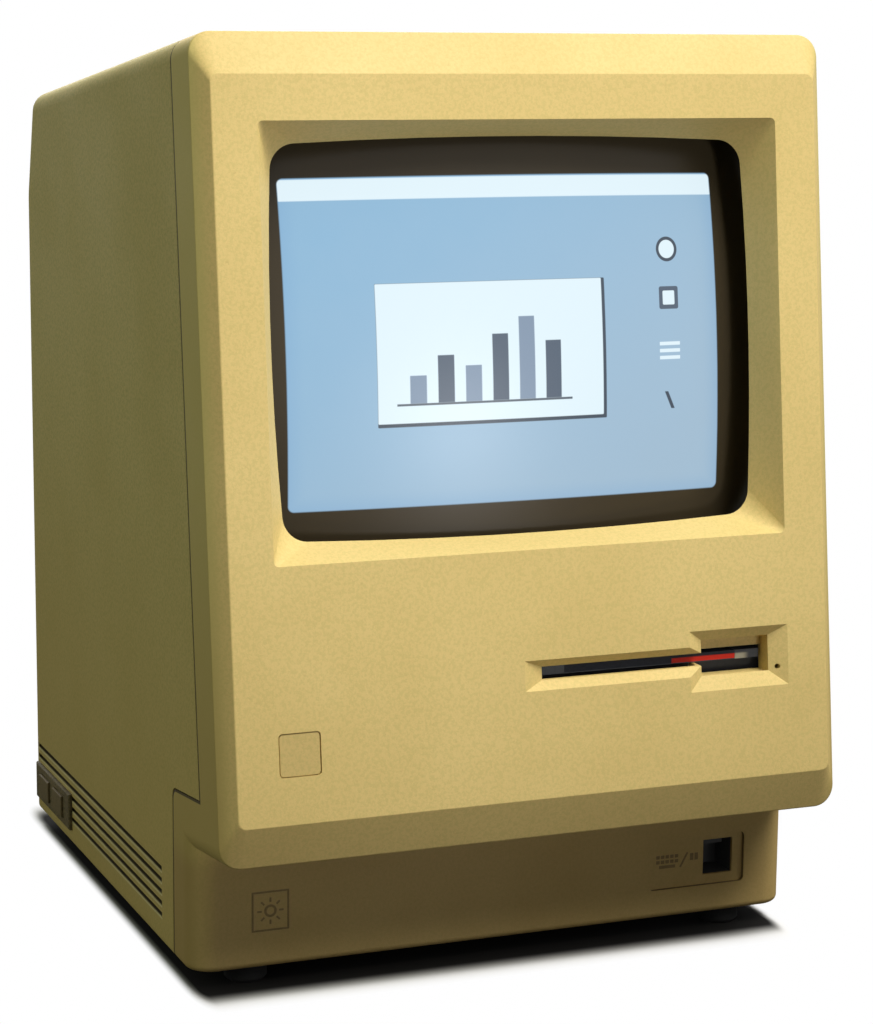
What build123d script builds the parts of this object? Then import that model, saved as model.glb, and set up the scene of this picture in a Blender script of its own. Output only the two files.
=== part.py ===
"""All-in-one desktop computer of the mid nineteen-eighties: a nine inch display over a diskette drive.

Units are millimetres and degrees. X runs to the right as seen from the front, Y to the back and Z up.
The origin lies on the ground under the middle of the housing. The front leans back, so most of the
front is drawn in a leaning frame: u along X, v up the slope from the ring's lowest edge, and a depth
behind the flat face.
"""
from build123d import *
import os
from math import cos, hypot, radians, sin, tan

# ---------------------------------------------------------------- driving dimensions
# Housing as a whole
WIDTH = 244.0             # across the bezel ring, the widest place
DEPTH = 276.5             # toe of the flat face to the rear wall
HEIGHT = 345.0            # ground to the upper edge of the bezel ring
FOOT_HEIGHT = 7.0         # ground to the underside of the housing
WALL = 3.0                # moulded wall, bezel and rear case alike
TILT = 6.4                # lean of the front from the vertical

# Front: a flat face, framed by a chamfer that ends in a ring
RING_BOTTOM_Z = 56.6      # height of the ring's lowest edge
RING_RADIUS = 8.0         # corners of the ring and the long edges behind it
CHAMFER_DEPTH = 6.6       # face to ring, square to the face
CHAMFER_SIDE = 5.5        # width of the chamfer at each side
CHAMFER_ENDS = 15.1       # width of the chamfer above and below
FACE_RADIUS = 3.0         # corners of the flat face
EDGE_SOFTENING = 0.8      # small radius left by the mould on the front's outer edges

# Chin, the lower front that stands back under the ring
CHIN_SETBACK = 34.5       # ring toe to chin, along Y
CHIN_RADIUS = 10.0        # upright corners of the chin
BASE_RADIUS = 2.5         # edge round the underside

# Rear of the housing
REAR_TOP_DROP = 27.5      # ring's upper edge down to the rear's top edge
REAR_TOP_SETBACK = 11.5   # how far the rear's top edge stands in front of the rear wall
KINK_DROP = 41.5          # rear's top edge down to where the rear wall turns upright
REAR_RADIUS = 8.0         # rear top edge and the upright rear corners
KINK_RADIUS = 14.0

# Parting line between bezel and rear case
SEAM_SETBACK = 21.2       # ring plane to upper seam, along Y
SEAM_STEP_Z = 75.5        # height at which the seam steps back
LOWER_SEAM_SETBACK = 57.0  # ring toe to lower seam, along Y
SEAM_STEP_RADIUS = 4.0
SEAM_GAP = 0.5
LIP_CLEARANCE = 0.3       # bezel lip inside the rear case
LIP_THICKNESS = 1.6
LIP_REACH = 5.0           # how far the lip enters the rear case
LIP_ROOT = 4.0            # how far the lip runs forward inside the bezel

# Screen funnel and picture tube
RECESS_SIDE = 21.75       # ring to recess at each side
RECESS_BOTTOM_V = 105.65  # ring's lowest edge up the slope to the recess
RECESS_TOP_GAP = 31.06    # recess to the ring's upper edge, along the slope
RECESS_RADIUS = 2.0
OPENING_DEPTH = 13.0      # face to the edge of the tube opening
OPENING_SIDE = 6.25       # recess to tube opening at each side, at the middle of its height
OPENING_ENDS = 5.05       # recess to tube opening above and below, at the middle of its width
OPENING_BULGE = 2.4       # how far each side of the opening bows outward
OPENING_RADIUS = 9.5
FUNNEL_WALL = 2.5
GLASS_DEPTH = 14.0        # face to the foremost point of the glass
GLASS_RADIUS = 450.0      # curve of the screen
TUBE_SIDE = 2.75          # tube beyond the recess at each side
TUBE_ENDS = 1.25          # tube beyond the recess above and below
TUBE_RADIUS = 20.0
TUBE_SKIRT = 24.0         # straight edge behind the screen
TUBE_CONE_LENGTH = 72.0
THROAT_RADIUS = 34.0      # cone where the yoke sits
THROAT_LENGTH = 26.0
HORN_REACH = 5.0          # how far the yoke's mouth reaches over the cone
NECK_RADIUS = 14.5
NECK_REAR_GAP = 64.5      # how much shorter the tube is than the housing
YOKE_CLEARANCE = 1.0      # yoke to glass
YOKE_THICKNESS = 8.0      # winding on the yoke's horn
YOKE_RIM = 18.0           # winding beyond the neck, at the yoke's rear
YOKE_CLAMP = 5.0          # wall of the clamp behind the yoke
YOKE_CLAMP_LENGTH = 7.0
RING_MAGNET_GAP = 12.0    # start of the neck to the first magnet ring
RING_MAGNET_THICKNESS = 3.0
RING_MAGNET_WALL = 9.0
RING_TAB_LENGTH = 10.0
RING_TAB_WIDTH = 5.0
NECK_SOCKET_WALL = 4.0
NECK_SOCKET_REACH = 6.0
NECK_BOARD_WIDTH = 62.0
NECK_BOARD_HEIGHT = 56.0
NECK_BOARD_RADIUS = 4.0
NECK_BOARD_GAP = 5.0      # end of the neck to the board
NECK_PART_RADIUS = 3.4
NECK_PART_HEIGHT = 9.0
NECK_PART_U = 20.0        # parts on the board, from its middle
NECK_PART_V = 14.0
CAP_RADIUS = 13.0         # rubber cap over the anode
CAP_THICKNESS = 2.0
CAP_DOME_RADIUS = 6.0
CAP_DOME_HEIGHT = 9.0
CAP_SHARE = 0.36          # place of the cap, as a share of the cone's length

# Disk slot: a long groove that widens into a finger notch at its right end
SLOT_SIDE = 28.5          # right end of the slit to the ring's side
SLOT_WIDTH = 92.5
SLOT_Z = 117.0            # height of the middle of the slit
SLOT_HEIGHT = 4.8
SLOT_DEPTH = 3.0          # face to slit
GROOVE_MARGIN = 7.9       # groove beyond the slit's left end
GROOVE_BOTTOM_V = 54.5
GROOVE_TOP_V = 65.6
NOTCH_WIDTH = 40.9
NOTCH_MARGIN = 6.9        # notch beyond the slit's right end
NOTCH_BOTTOM_V = 48.8
NOTCH_TOP_V = 71.4
NOTCH_HOLE_WIDTH = 27.9
NOTCH_HOLE_BOTTOM_V = 54.2
NOTCH_HOLE_TOP_V = 67.6
NOTCH_POCKET_DEPTH = 9.0  # face to the back wall above the slit, inside the notch
LIP_WALL = 1.5            # wall behind the bevels of the slot
PINHOLE_RADIUS = 1.0
PINHOLE_MARGIN = 3.2      # pinhole beyond the slit's right end
PINHOLE_V = 55.6
PINHOLE_LENGTH = 15.0

# Badge recess
BADGE_SIDE = 28.9         # middle of the badge to the ring's side
BADGE_V = 39.6
BADGE_SIZE = 15.6
BADGE_DEPTH = 1.2
BADGE_RADIUS = 1.5
BADGE_GAP = 0.4
BADGE_PLATE_THICKNESS = 0.9

# Tube fixing: four lugs on a band round the tube, screwed to posts of the bezel
BAND_THICKNESS = 1.6
BAND_WIDTH = 14.0
BAND_DEPTH = 34.0         # face to the middle of the band
LUG_SIDE = 5.6            # lug holes beyond the tube's sides
LUG_ENDS = 8.0            # lug holes beyond the tube's upper and lower edges
LUG_RADIUS = 8.0
POST_RADIUS = 4.5
SCREW_RADIUS = 1.9
SCREW_CLEARANCE = 0.08    # screw shank in its pilot hole
SCREW_LENGTH = 12.0
HEAD_RADIUS = 3.8
HEAD_HEIGHT = 2.4
UPPER_SCREW_TOP_GAP = 23.0  # upper case screws to the ring's upper edge
UPPER_SCREW_INSET = 11.0  # upper case screws inside the side of the handle well
UPPER_SEAT = 46.0         # depth at which the upper case screws clamp

# Keyboard socket in the chin
JACK_SIDE = 29.7          # middle of the socket to the ring's side
JACK_MID_Z = 29.0
JACK_HOLE_WIDTH = 12.6
JACK_HOLE_HEIGHT = 14.0
JACK_RECESS_WIDTH = 41.0
JACK_RECESS_SIDE = 19.0   # recess to the ring's side
JACK_RECESS_BOTTOM_Z = 18.3
JACK_RECESS_TOP_Z = 38.4
JACK_RECESS_DEPTH = 1.8
JACK_RECESS_RADIUS = 2.0
JACK_WALL = 2.0
JACK_CAVITY_DEPTH = 13.0
JACK_BACK_WALL = 5.0
JACK_COMB_WIDTH = 8.0     # strip that carries the contacts
JACK_COMB_HEIGHT = 3.0

# Brightness wheel, whose rim reaches through the underside of the overhang
WHEEL_SIDE = 30.0         # wheel to the ring's side
WHEEL_SETBACK = 20.0      # ring toe to the wheel's axis, along Y
WHEEL_RADIUS = 11.0
WHEEL_WIDTH = 7.0
WHEEL_PROUD = 2.4         # how far the rim stands below the overhang
WHEEL_TEETH = 36
WHEEL_TOOTH_DEPTH = 0.5
WHEEL_TOOTH_WIDTH = 0.9
WHEEL_CLEARANCE = 0.8     # slot round the wheel
SPINDLE_RADIUS = 3.0      # potentiometer spindle inside the wheel
POT_GAP = 3.0             # wheel to potentiometer
POT_SIZE = 16.0
POT_THICKNESS = 8.0
POT_DROP = 4.0            # potentiometer body below the spindle
POT_BACK = 1.5            # wall behind the spindle's bore

# Handle: a bar across a well in the top
WELL_SIDE = 67.0          # well to the ring's side
WELL_FRONT_SETBACK = 76.25  # rear wall to the front of the well
WELL_FLOOR_DROP = 49.5    # rear's top edge down to the well's floor
BAR_FRONT_SETBACK = 43.25  # rear wall to the front of the bar
BAR_UNDERSIDE_DROP = 12.5  # rear's top edge down to the underside of the bar
BAR_POCKETS = 4
BAR_WALL = 3.0
BAR_POCKET_DEPTH = 10.0

# Air slots
TOP_SLOTS = 8             # on each side of the handle
TOP_SLOT_PITCH = 6.2
TOP_SLOT_WIDTH = 2.8
TOP_SLOT_SIDE = 11.6      # outermost slot to the ring's side
TOP_SLOT_FRONT_SETBACK = 66.25  # rear wall to the front end of the slots
TOP_SLOT_DROP = 33.5      # rear's top edge down to the lower end of the slots
SIDE_SLOTS = 5
SIDE_SLOT_PITCH = 4.5
SIDE_SLOT_HEIGHT = 2.0
SIDE_SLOT_TOP_Z = 36.4    # middle of the highest slot
SIDE_SLOT_FRONT_GAP = 15.5  # lower seam to the slots
SIDE_SLOT_REAR_GAP = 8.25  # slots to the rear wall

# Socket panel low in the rear wall
PANEL_LEFT_SIDE = 49.0    # panel to the ring's left side
PANEL_BOTTOM_Z = 14.0
PANEL_TOP_Z = 42.0
PANEL_RECESS = 6.0
PORT_Z = 26.5
PORT_CLEARANCE = 0.4
SMALL_SHELL = 17.0        # nine-way shell, across
LARGE_SHELL = 33.4        # nineteen-way shell, across
SHELL_HEIGHT = 8.4
SHELL_SLANT = 10.0        # degrees by which the ends of a shell are drawn in
SHELL_PROUD = 5.5
FLANGE_HEIGHT = 12.5
FLANGE_THICKNESS = 1.0
FLANGE_RADIUS = 2.0
PORT_BODY_DEPTH = 11.0
NUT_RADIUS = 2.6          # hexagonal posts beside each socket, across corners
NUT_HEIGHT = 4.6
NUT_MARGIN = 4.6          # shell to post
AUDIO_BORE_RADIUS = 1.8
AUDIO_BORE_LENGTH = 13.0
AUDIO_NOSE_RADIUS = 4.0
AUDIO_NOSE_PROUD = 0.5
AUDIO_BODY = 10.0
LOWER_SCREW_Z = 50.0
LOWER_SCREW_LEFT = 58.0   # left lower case screw from the chassis' left side
LOWER_SCREW_RIGHT = 13.2  # right lower case screw from the chassis' right side

# Mains side of the rear wall
MAINS_SIDE = 27.0         # middle of the inlet to the ring's side
INLET_Z = 30.0
INLET_WIDTH = 27.0
INLET_HEIGHT = 19.8
INLET_DEPTH = 20.0
INLET_WALL = 1.6
INLET_RIM = 2.0           # rim round the inlet, outside the rear wall
INLET_RIM_THICKNESS = 1.5
PIN_PROUD = 12.0          # pins beyond the back of the inlet's cavity
PIN_TAIL = 6.0            # pins behind the inlet
PIN_WIDTH = 4.0
PIN_THICKNESS = 2.0
PIN_SPACING = 7.0
EARTH_RISE = 2.0          # earth pin above the middle
LIVE_DROP = 1.5           # live pins below the middle
SWITCH_Z = 66.0
SWITCH_WIDTH = 13.0
SWITCH_HEIGHT = 20.0
SWITCH_DEPTH = 16.0
SWITCH_WALL = 1.5
SWITCH_RIM = 2.0
SWITCH_RIM_THICKNESS = 1.6
SWITCH_BLADE_LENGTH = 7.0
SWITCH_BLADE_WIDTH = 6.0
SWITCH_BLADE_THICKNESS = 2.0
SWITCH_BLADE_X = 3.0
ROCKER_CLEARANCE = 0.4
ROCKER_ANGLE = 14.0       # travel from on to off
ROCKER_PIVOT_DEPTH = 6.0
ROCKER_PROUD = 1.0        # tips beyond the rear wall when level
ROCKER_DISH = 1.4         # middle of the rocker behind its tips
ROCKER_BACK = 3.0         # pivot to the rocker's inner face
ROCKER_EDGE = 2.0
ROCKER_PIN_RADIUS = 1.5
PIVOT_CLEARANCE = 0.06

# Clock battery behind its own door
BATTERY_RADIUS = 8.4
BATTERY_LENGTH = 50.0
BATTERY_CAP = 1.5
CONTACT_THICKNESS = 0.6
CONTACT_FLAT = 2.0
BAY_Z = 122.0
BAY_WIDTH = 24.0
BAY_HEIGHT = 60.0
BAY_DEPTH = 22.0
BAY_CLEARANCE = 0.3
DOOR_MARGIN = 4.0         # door beyond the bay on every side
DOOR_THICKNESS = 2.0
DOOR_GAP = 0.4
DOOR_ANGLE = 90.0
DOOR_NICK_RADIUS = 5.0

# Feet
FOOT_SIDE = 24.0          # middle of a foot to the ring's side
FRONT_FOOT_SETBACK = 11.5  # chin to the middle of a front foot
REAR_FOOT_SETBACK = 22.0   # rear wall to the middle of a rear foot
FOOT_RADIUS = 8.0
FOOT_ROUND = 1.5
PLUG_RADIUS = 3.0
PLUG_CLEARANCE = 0.05

# Reset and interrupt clip, pressed into the side slots at the left rear
CLIP_FRONT_GAP = 65.75    # front end of the clip to the rear wall
CLIP_REAR_GAP = 9.25      # rear end of the clip to the rear wall
CLIP_BOTTOM_Z = 13.6
CLIP_TOP_Z = 29.2
CLIP_PROUD = 1.6
CLIP_INSIDE = 1.5         # hooks beyond the inside of the wall
CLIP_HOOK_LENGTH = 8.0
CLIP_HOOK_DROP = 0.8
CLIP_END = 1.0            # hooks to the ends of the clip
CLIP_FIT = 0.2
BUTTON_SHARES = (0.3, 0.7)  # places of the buttons along the clip
BUTTON_LENGTH = 15.0
BUTTON_HEIGHT = 9.0
BUTTON_PROUD = 1.0        # beyond the clip
BUTTON_TRAVEL = 1.2
BUTTON_CLEARANCE = 0.35
BUTTON_ROUND = 0.4
STEM_HEIGHT = 1.4         # thin stem that runs through a side slot
STEM_WIDTH = 6.0
STEM_GAP = 4.0            # end of the stem to the chassis
STEM_SLOT = 3             # side slot that the stems run through, counted from the highest

# Chassis and logic board
SHEET = 1.2
BOARD = 1.6
CHASSIS_LEFT_SIDE = 42.0  # chassis to the ring's left side
CHASSIS_RIGHT_SIDE = 10.8  # chassis to the ring's right side
CHASSIS_FRONT_SETBACK = 63.3  # ring toe to the chassis
CHASSIS_LIP = 9.0         # flanges that carry the board
CHASSIS_POST_Z = 77.0
CHASSIS_POST_LEFT = 18.0  # left front post from the chassis' left side
CHASSIS_POST_RIGHT = 11.2  # right front post from the chassis' right side
TAB_HALF_WIDTH = 8.0
TAB_RISE = 7.0            # tab above its screw
SHELF_Z = 70.0
VENT_ROWS = 6
VENT_LENGTH = 46.0
VENT_WIDTH = 4.0
VENT_INSET = 14.0         # vents from the chassis' left side
VENT_MARGIN = 30.0        # vents from the chassis' ends
STEM_WINDOW = 2.0         # window round a stem
BOARD_Z = 16.0            # underside of the logic board
BOARD_GAP = 0.3           # board to chassis
BOARD_FRONT_GAP = 6.8     # chin to logic board
BOARD_REAR_GAP = 3.25     # logic board to the panel

# Chips; places are shares of the logic board's width and length
CHIP_HEIGHT = 3.6
CHIP_RISE = 0.6           # board to the underside of a chip
CHIP_LEG = 0.7
CHIP_NOTCH = 2.4
PROCESSOR_LENGTH = 81.0
PROCESSOR_WIDTH = 22.9
PROCESSOR_PLACE = (0.79, 0.56)
ROM_LENGTH = 36.8
ROM_SPACING = 42.0
ROM_PLACE = (0.608, 0.564)
WIDE_CHIP = 15.2
NARROW_CHIP = 7.6
MEMORY_LENGTH = 19.3
MEMORY_COLUMN = 12.0
MEMORY_ROW = 26.0
MEMORY_COUNT = 4          # rows and columns
MEMORY_PLACE = (0.205, 0.3165)
CONTROLLER_LENGTH = 51.5
CONTROLLER_PLACES = ((0.449, 0.56), (0.3, 0.73))
LOGIC_LENGTH = 24.3
LOGIC_PLACES = ((0.47, 0.147), (0.555, 0.147), (0.64, 0.147), (0.725, 0.147), (0.91, 0.285), (0.91, 0.56))
PUSH_SWITCH_GAP = 2.0     # chassis to push switch
PUSH_SWITCH_SIZE = 6.0
PUSH_SWITCH_RISE = 2.5    # top of the switch above the stem
PLUNGER_RADIUS = 1.5
PLUNGER_GAP = 0.4         # pressed stem to plunger

# Analog side; places are shares of the analog board's length and height
BRACKET_SIDE = 6.0        # bracket to the ring's left side
ANALOG_SIDE = 12.0        # outer face of the analog board to the ring's left side
ANALOG_LENGTH = 136.0
ANALOG_REAR_GAP = 38.25   # analog board to the rear wall
ANALOG_Z0 = 66.0
ANALOG_TOP_DROP = 25.5    # rear's top edge down to the analog board
BRACKET_DROP = 8.0        # bracket's foot below the board
BRACKET_FOLD = 10.0
STANDOFF_RADIUS = 3.0
STANDOFF_INSET = 8.0
FLYBACK_PLACE = (0.59, 0.29)
FLYBACK_CORE_WIDTH = 30.0
FLYBACK_CORE_LENGTH = 40.0
FLYBACK_CORE_HEIGHT = 46.0
FLYBACK_CORE_BAR = 7.5
FLYBACK_WINDING_RADIUS = 15.0
FLYBACK_WINDING_X = 24.0
FLYBACK_COLLAR_RADIUS = 7.0
FLYBACK_COLLAR_HEIGHT = 8.0
HEAT_SINK_PLACE = (0.765, 0.575)
HEAT_SINK_LENGTH = 28.0
HEAT_SINK_HEIGHT = 76.0
HEAT_SINK_BASE = 6.0
HEAT_SINK_DEPTH = 24.0
HEAT_SINK_FINS = 6
FIN_THICKNESS = 2.0
LARGE_CAN_RADIUS = 11.0
LARGE_CAN_HEIGHT = 30.0
LARGE_CAN_PLACES = ((0.16, 0.23), (0.353, 0.23))
MEDIUM_CAN_RADIUS = 8.5
MEDIUM_CAN_HEIGHT = 25.0
MEDIUM_CAN_PLACES = ((0.147, 0.38), (0.294, 0.655))
SMALL_CAN_RADIUS = 6.0
SMALL_CAN_HEIGHT = 18.0
SMALL_CAN_PLACES = ((0.485, 0.655), (0.618, 0.69))
SPEAKER_PLACE = (0.235, 0.84)
SPEAKER_RADIUS = 26.0
SPEAKER_RIM = 2.0
SPEAKER_RIM_HEIGHT = 3.0
SPEAKER_CONE_HEIGHT = 10.0
SPEAKER_MAGNET_RADIUS = 13.0
SPEAKER_MAGNET_HEIGHT = 17.0

# Diskette
DISK_SETBACK = 8.3        # ring toe to the diskette's front edge
DISK_WIDTH = 90.0
DISK_LENGTH = 94.0
DISK_THICKNESS = 3.3
DISK_RISE = 0.3           # lower edge of the slit to the diskette
DISK_CORNER = 3.5
LABEL_WIDTH = 70.0
LABEL_LENGTH = 54.0
LABEL_THICKNESS = 0.3
SHUTTER_WIDTH = 30.0
SHUTTER_LENGTH = 31.0
SHUTTER_TRAVEL = 12.0
SHUTTER_SHEET = 0.3
HUB_RADIUS = 12.0
HUB_THICKNESS = 1.1
HUB_RISE = 0.2
HEAD_WINDOW_WIDTH = 12.0
HEAD_WINDOW_LENGTH = 20.0
HEAD_WINDOW_GAP = 4.0     # window to the diskette's rear edge

# Diskette drive, whose lengths run back from the front of its frame
DRIVE_SETBACK = 12.8      # ring toe to the drive frame
DRIVE_LENGTH = 150.5
DRIVE_HALF_WIDTH = 50.0
DRIVE_BOTTOM = 95.0
DRIVE_TOP = 122.0
DRIVE_WALL = 2.0
LANE_CLEARANCE = 0.4
LANE_END = 3.0            # frame's step behind the diskette
LEDGE = 3.0               # ledge under each edge of the diskette
DRIVE_BRACKET_FRONT = 62.5  # front of the frame to the bracket
DRIVE_BRACKET_REAR = 8.0  # bracket to the rear of the frame
DRIVE_BRACKET_DROP = 6.0  # bracket's sides below the top of the frame
FRAME_WINDOW_WIDTH = 60.0
FRAME_WINDOW_FRONT = 68.5
FRAME_WINDOW_REAR = 10.0
COVER_WINDOW_WIDTH = 32.0
COVER_HOLE_X = 32.0
COVER_HOLE_WIDTH = 16.0
COVER_HOLE_FRONT = 20.5
COVER_HOLE_LENGTH = 30.0
BEARING_RADIUS = 6.0
BEARING_HEIGHT = 11.0
ROD_Z = 104.0
ROD_RADIUS = 1.5
ROD_SPACING = 18.0        # each guide rod from the middle of the drive
LEAD_X = -30.0            # lead screw from the middle of the drive
LEAD_RADIUS = 2.0
LEAD_PITCH = 3.0
COLLAR_GAP = 0.4
COLLAR_LENGTH = 2.0
COLLAR_RADIUS = 3.5
RIB_SETBACK = 58.5        # front of the frame to the rib
RIB_THICKNESS = 4.0
RIB_RISE = 4.0            # rib above the rods' middle
CARRIAGE_SETBACK = 90.5   # front of the frame to the head carriage
CARRIAGE_LENGTH = 20.0
CARRIAGE_TRAVEL = 15.0
CARRIAGE_MARGIN = 5.0     # carriage beyond the rod and the screw
CARRIAGE_DROP = 4.5       # carriage below the rods' middle
CARRIAGE_GAP = 3.0        # carriage to the diskette
ARM_HALF_WIDTH = 6.0
ARM_THICKNESS = 2.5
ARM_GAP = 1.0             # upper arm to the diskette
HEAD_SETBACK = 19.3       # heads to the diskette's rear edge
HEAD_PAD_RADIUS = 3.0
HEAD_GAP = 0.5            # heads to the diskette
HEAD_MARGIN = 4.0         # arms beyond the middle of the heads
SHAFT_RADIUS = 2.0
SHAFT_REACH = 9.0         # shaft below the frame
SPINDLE_GAP = 0.7         # spindle's hub to the diskette
SPINDLE_HUB_HEIGHT = 3.0
DRIVE_PIN_RADIUS = 1.2
DRIVE_PIN_HEIGHT = 0.5
DRIVE_PIN_X = 8.0
RUNNING_FIT = 0.05
MOTOR_RADIUS = 24.0
MOTOR_HEIGHT = 10.0
STEPPER_RADIUS = 14.0
STEPPER_LENGTH = 18.0
EJECT_SIZE = 15.0
EJECT_X = 27.0            # eject motor from the middle of the drive
EJECT_REAR_GAP = 6.0
EJECT_GEAR_LENGTH = 18.0
EJECT_MOTOR_LENGTH = 28.0


# ---------------------------------------------------------------- places that follow from them
LEAN = radians(TILT)
HALF = WIDTH / 2
RING_TOE_Y = -DEPTH / 2 + CHAMFER_DEPTH * cos(LEAN) - CHAMFER_ENDS * sin(LEAN)
RING_LENGTH = (HEIGHT - RING_BOTTOM_Z) / cos(LEAN)
REAR_Y = DEPTH / 2
CHIN_Y = RING_TOE_Y + CHIN_SETBACK
LOWER_SEAM_Y = RING_TOE_Y + LOWER_SEAM_SETBACK
OVERHANG_Z = RING_BOTTOM_Z - CHIN_SETBACK * tan(LEAN)
REAR_TOP_Z = HEIGHT - REAR_TOP_DROP
KINK_Z = REAR_TOP_Z - KINK_DROP
FAR = DEPTH + HEIGHT      # longer than the whole product, for cutting tools

RECESS_WIDTH = WIDTH - 2 * RECESS_SIDE
RECESS_HEIGHT = RING_LENGTH - RECESS_BOTTOM_V - RECESS_TOP_GAP
SCREEN_V = RECESS_BOTTOM_V + RECESS_HEIGHT / 2
OPENING_WIDTH = RECESS_WIDTH - 2 * OPENING_SIDE
OPENING_HEIGHT = RECESS_HEIGHT - 2 * OPENING_ENDS
TUBE_WIDTH = RECESS_WIDTH + 2 * TUBE_SIDE
TUBE_HEIGHT = RECESS_HEIGHT + 2 * TUBE_ENDS
CONE_START = GLASS_DEPTH + TUBE_SKIRT
CONE_END = CONE_START + TUBE_CONE_LENGTH
NECK_START = CONE_END + THROAT_LENGTH
NECK_END = DEPTH - NECK_REAR_GAP
LUG_U = TUBE_WIDTH / 2 + LUG_SIDE
LUG_V = TUBE_HEIGHT / 2 + LUG_ENDS
LUG_PLACES = [(su * LUG_U, SCREEN_V + sv * LUG_V) for su in (-1, 1) for sv in (-1, 1)]
LUG_SEAT = BAND_DEPTH + BAND_WIDTH / 2
PILOT_RADIUS = SCREW_RADIUS + SCREW_CLEARANCE

SLOT_RIGHT = HALF - SLOT_SIDE
SLOT_LEFT = SLOT_RIGHT - SLOT_WIDTH
NOTCH_RIGHT = SLOT_RIGHT + NOTCH_MARGIN
NOTCH_LEFT = NOTCH_RIGHT - NOTCH_WIDTH
NOTCH_HOLE_LEFT = SLOT_RIGHT - NOTCH_HOLE_WIDTH
PINHOLE_U = SLOT_RIGHT + PINHOLE_MARGIN
BADGE_U = BADGE_SIDE - HALF
JACK_U = HALF - JACK_SIDE
JACK_RECESS_RIGHT = HALF - JACK_RECESS_SIDE
JACK_RECESS_LEFT = JACK_RECESS_RIGHT - JACK_RECESS_WIDTH
WHEEL_X = WHEEL_SIDE - HALF
WHEEL_Y = RING_TOE_Y + WHEEL_SETBACK
WHEEL_Z = RING_BOTTOM_Z - WHEEL_SETBACK * tan(LEAN) - WHEEL_PROUD + WHEEL_RADIUS
POT_X = WHEEL_X + WHEEL_WIDTH / 2 + POT_GAP

WELL_HALF_WIDTH = HALF - WELL_SIDE
WELL_FRONT_Y = REAR_Y - WELL_FRONT_SETBACK
WELL_FLOOR_Z = REAR_TOP_Z - WELL_FLOOR_DROP
BAR_FRONT_Y = REAR_Y - BAR_FRONT_SETBACK
BAR_UNDERSIDE_Z = REAR_TOP_Z - BAR_UNDERSIDE_DROP
UPPER_SCREWS = (UPPER_SCREW_INSET - WELL_HALF_WIDTH, WELL_HALF_WIDTH - UPPER_SCREW_INSET)
UPPER_SCREW_V = RING_LENGTH - UPPER_SCREW_TOP_GAP
TOP_SLOT_OUTER_X = HALF - TOP_SLOT_SIDE
TOP_SLOT_FRONT_Y = REAR_Y - TOP_SLOT_FRONT_SETBACK
TOP_SLOT_BOTTOM_Z = REAR_TOP_Z - TOP_SLOT_DROP
SIDE_SLOT_FRONT_Y = LOWER_SEAM_Y + SIDE_SLOT_FRONT_GAP
SIDE_SLOT_REAR_Y = REAR_Y - SIDE_SLOT_REAR_GAP

CHASSIS_LEFT = CHASSIS_LEFT_SIDE - HALF
CHASSIS_RIGHT = HALF - CHASSIS_RIGHT_SIDE
CHASSIS_FRONT_Y = RING_TOE_Y + CHASSIS_FRONT_SETBACK
PANEL_INSIDE_Y = REAR_Y - PANEL_RECESS - WALL
CHASSIS_REAR_Y = PANEL_INSIDE_Y
CHASSIS_POSTS = (CHASSIS_LEFT + CHASSIS_POST_LEFT, CHASSIS_RIGHT - CHASSIS_POST_RIGHT)
PANEL_X0 = PANEL_LEFT_SIDE - HALF
PANEL_X1 = CHASSIS_RIGHT - SHEET
LOWER_SCREWS = (CHASSIS_LEFT + LOWER_SCREW_LEFT, CHASSIS_RIGHT - LOWER_SCREW_RIGHT)
LOWER_SCREW_SEAT = REAR_Y - PANEL_RECESS
BOARD_TOP = BOARD_Z + BOARD
BOARD_X0 = CHASSIS_LEFT + SHEET + BOARD_GAP
BOARD_X1 = CHASSIS_RIGHT - SHEET - BOARD_GAP
BOARD_FRONT_Y = CHIN_Y + BOARD_FRONT_GAP
BOARD_REAR_Y = CHASSIS_REAR_Y - BOARD_REAR_GAP
STEM_Z = SIDE_SLOT_TOP_Z - STEM_SLOT * SIDE_SLOT_PITCH
STEM_END_X = CHASSIS_LEFT - STEM_GAP

MAINS_X = MAINS_SIDE - HALF
DOOR_HALF_WIDTH = BAY_WIDTH / 2 + DOOR_MARGIN
DOOR_HALF_HEIGHT = BAY_HEIGHT / 2 + DOOR_MARGIN
FOOT_X = HALF - FOOT_SIDE
CLIP_FRONT_Y = REAR_Y - CLIP_FRONT_GAP
CLIP_REAR_Y = REAR_Y - CLIP_REAR_GAP
BUTTON_Z = (CLIP_BOTTOM_Z + CLIP_TOP_Z) / 2
BUTTON_PLACES = [CLIP_FRONT_Y + share * (CLIP_REAR_Y - CLIP_FRONT_Y) for share in BUTTON_SHARES]
BRACKET_X = BRACKET_SIDE - HALF
ANALOG_X = ANALOG_SIDE - HALF
ANALOG_TOP = ANALOG_X + BOARD
ANALOG_Y1 = REAR_Y - ANALOG_REAR_GAP
ANALOG_Y0 = ANALOG_Y1 - ANALOG_LENGTH
ANALOG_Z1 = REAR_TOP_Z - ANALOG_TOP_DROP

DRIVE_CENTRE = (SLOT_LEFT + SLOT_RIGHT) / 2
DRIVE_FRONT_Y = RING_TOE_Y + DRIVE_SETBACK
DRIVE_REAR_Y = DRIVE_FRONT_Y + DRIVE_LENGTH
RIB_Y = DRIVE_FRONT_Y + RIB_SETBACK
CARRIAGE_FRONT_Y = DRIVE_FRONT_Y + CARRIAGE_SETBACK
DISK_FRONT_Y = RING_TOE_Y + DISK_SETBACK
DISK_REAR_Y = DISK_FRONT_Y + DISK_LENGTH
DISK_BOTTOM = SLOT_Z - SLOT_HEIGHT / 2 + DISK_RISE
DISK_TOP = DISK_BOTTOM + DISK_THICKNESS
HUB_Y = DISK_FRONT_Y + DISK_LENGTH / 2
HEAD_Y = DISK_REAR_Y - HEAD_SETBACK


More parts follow.
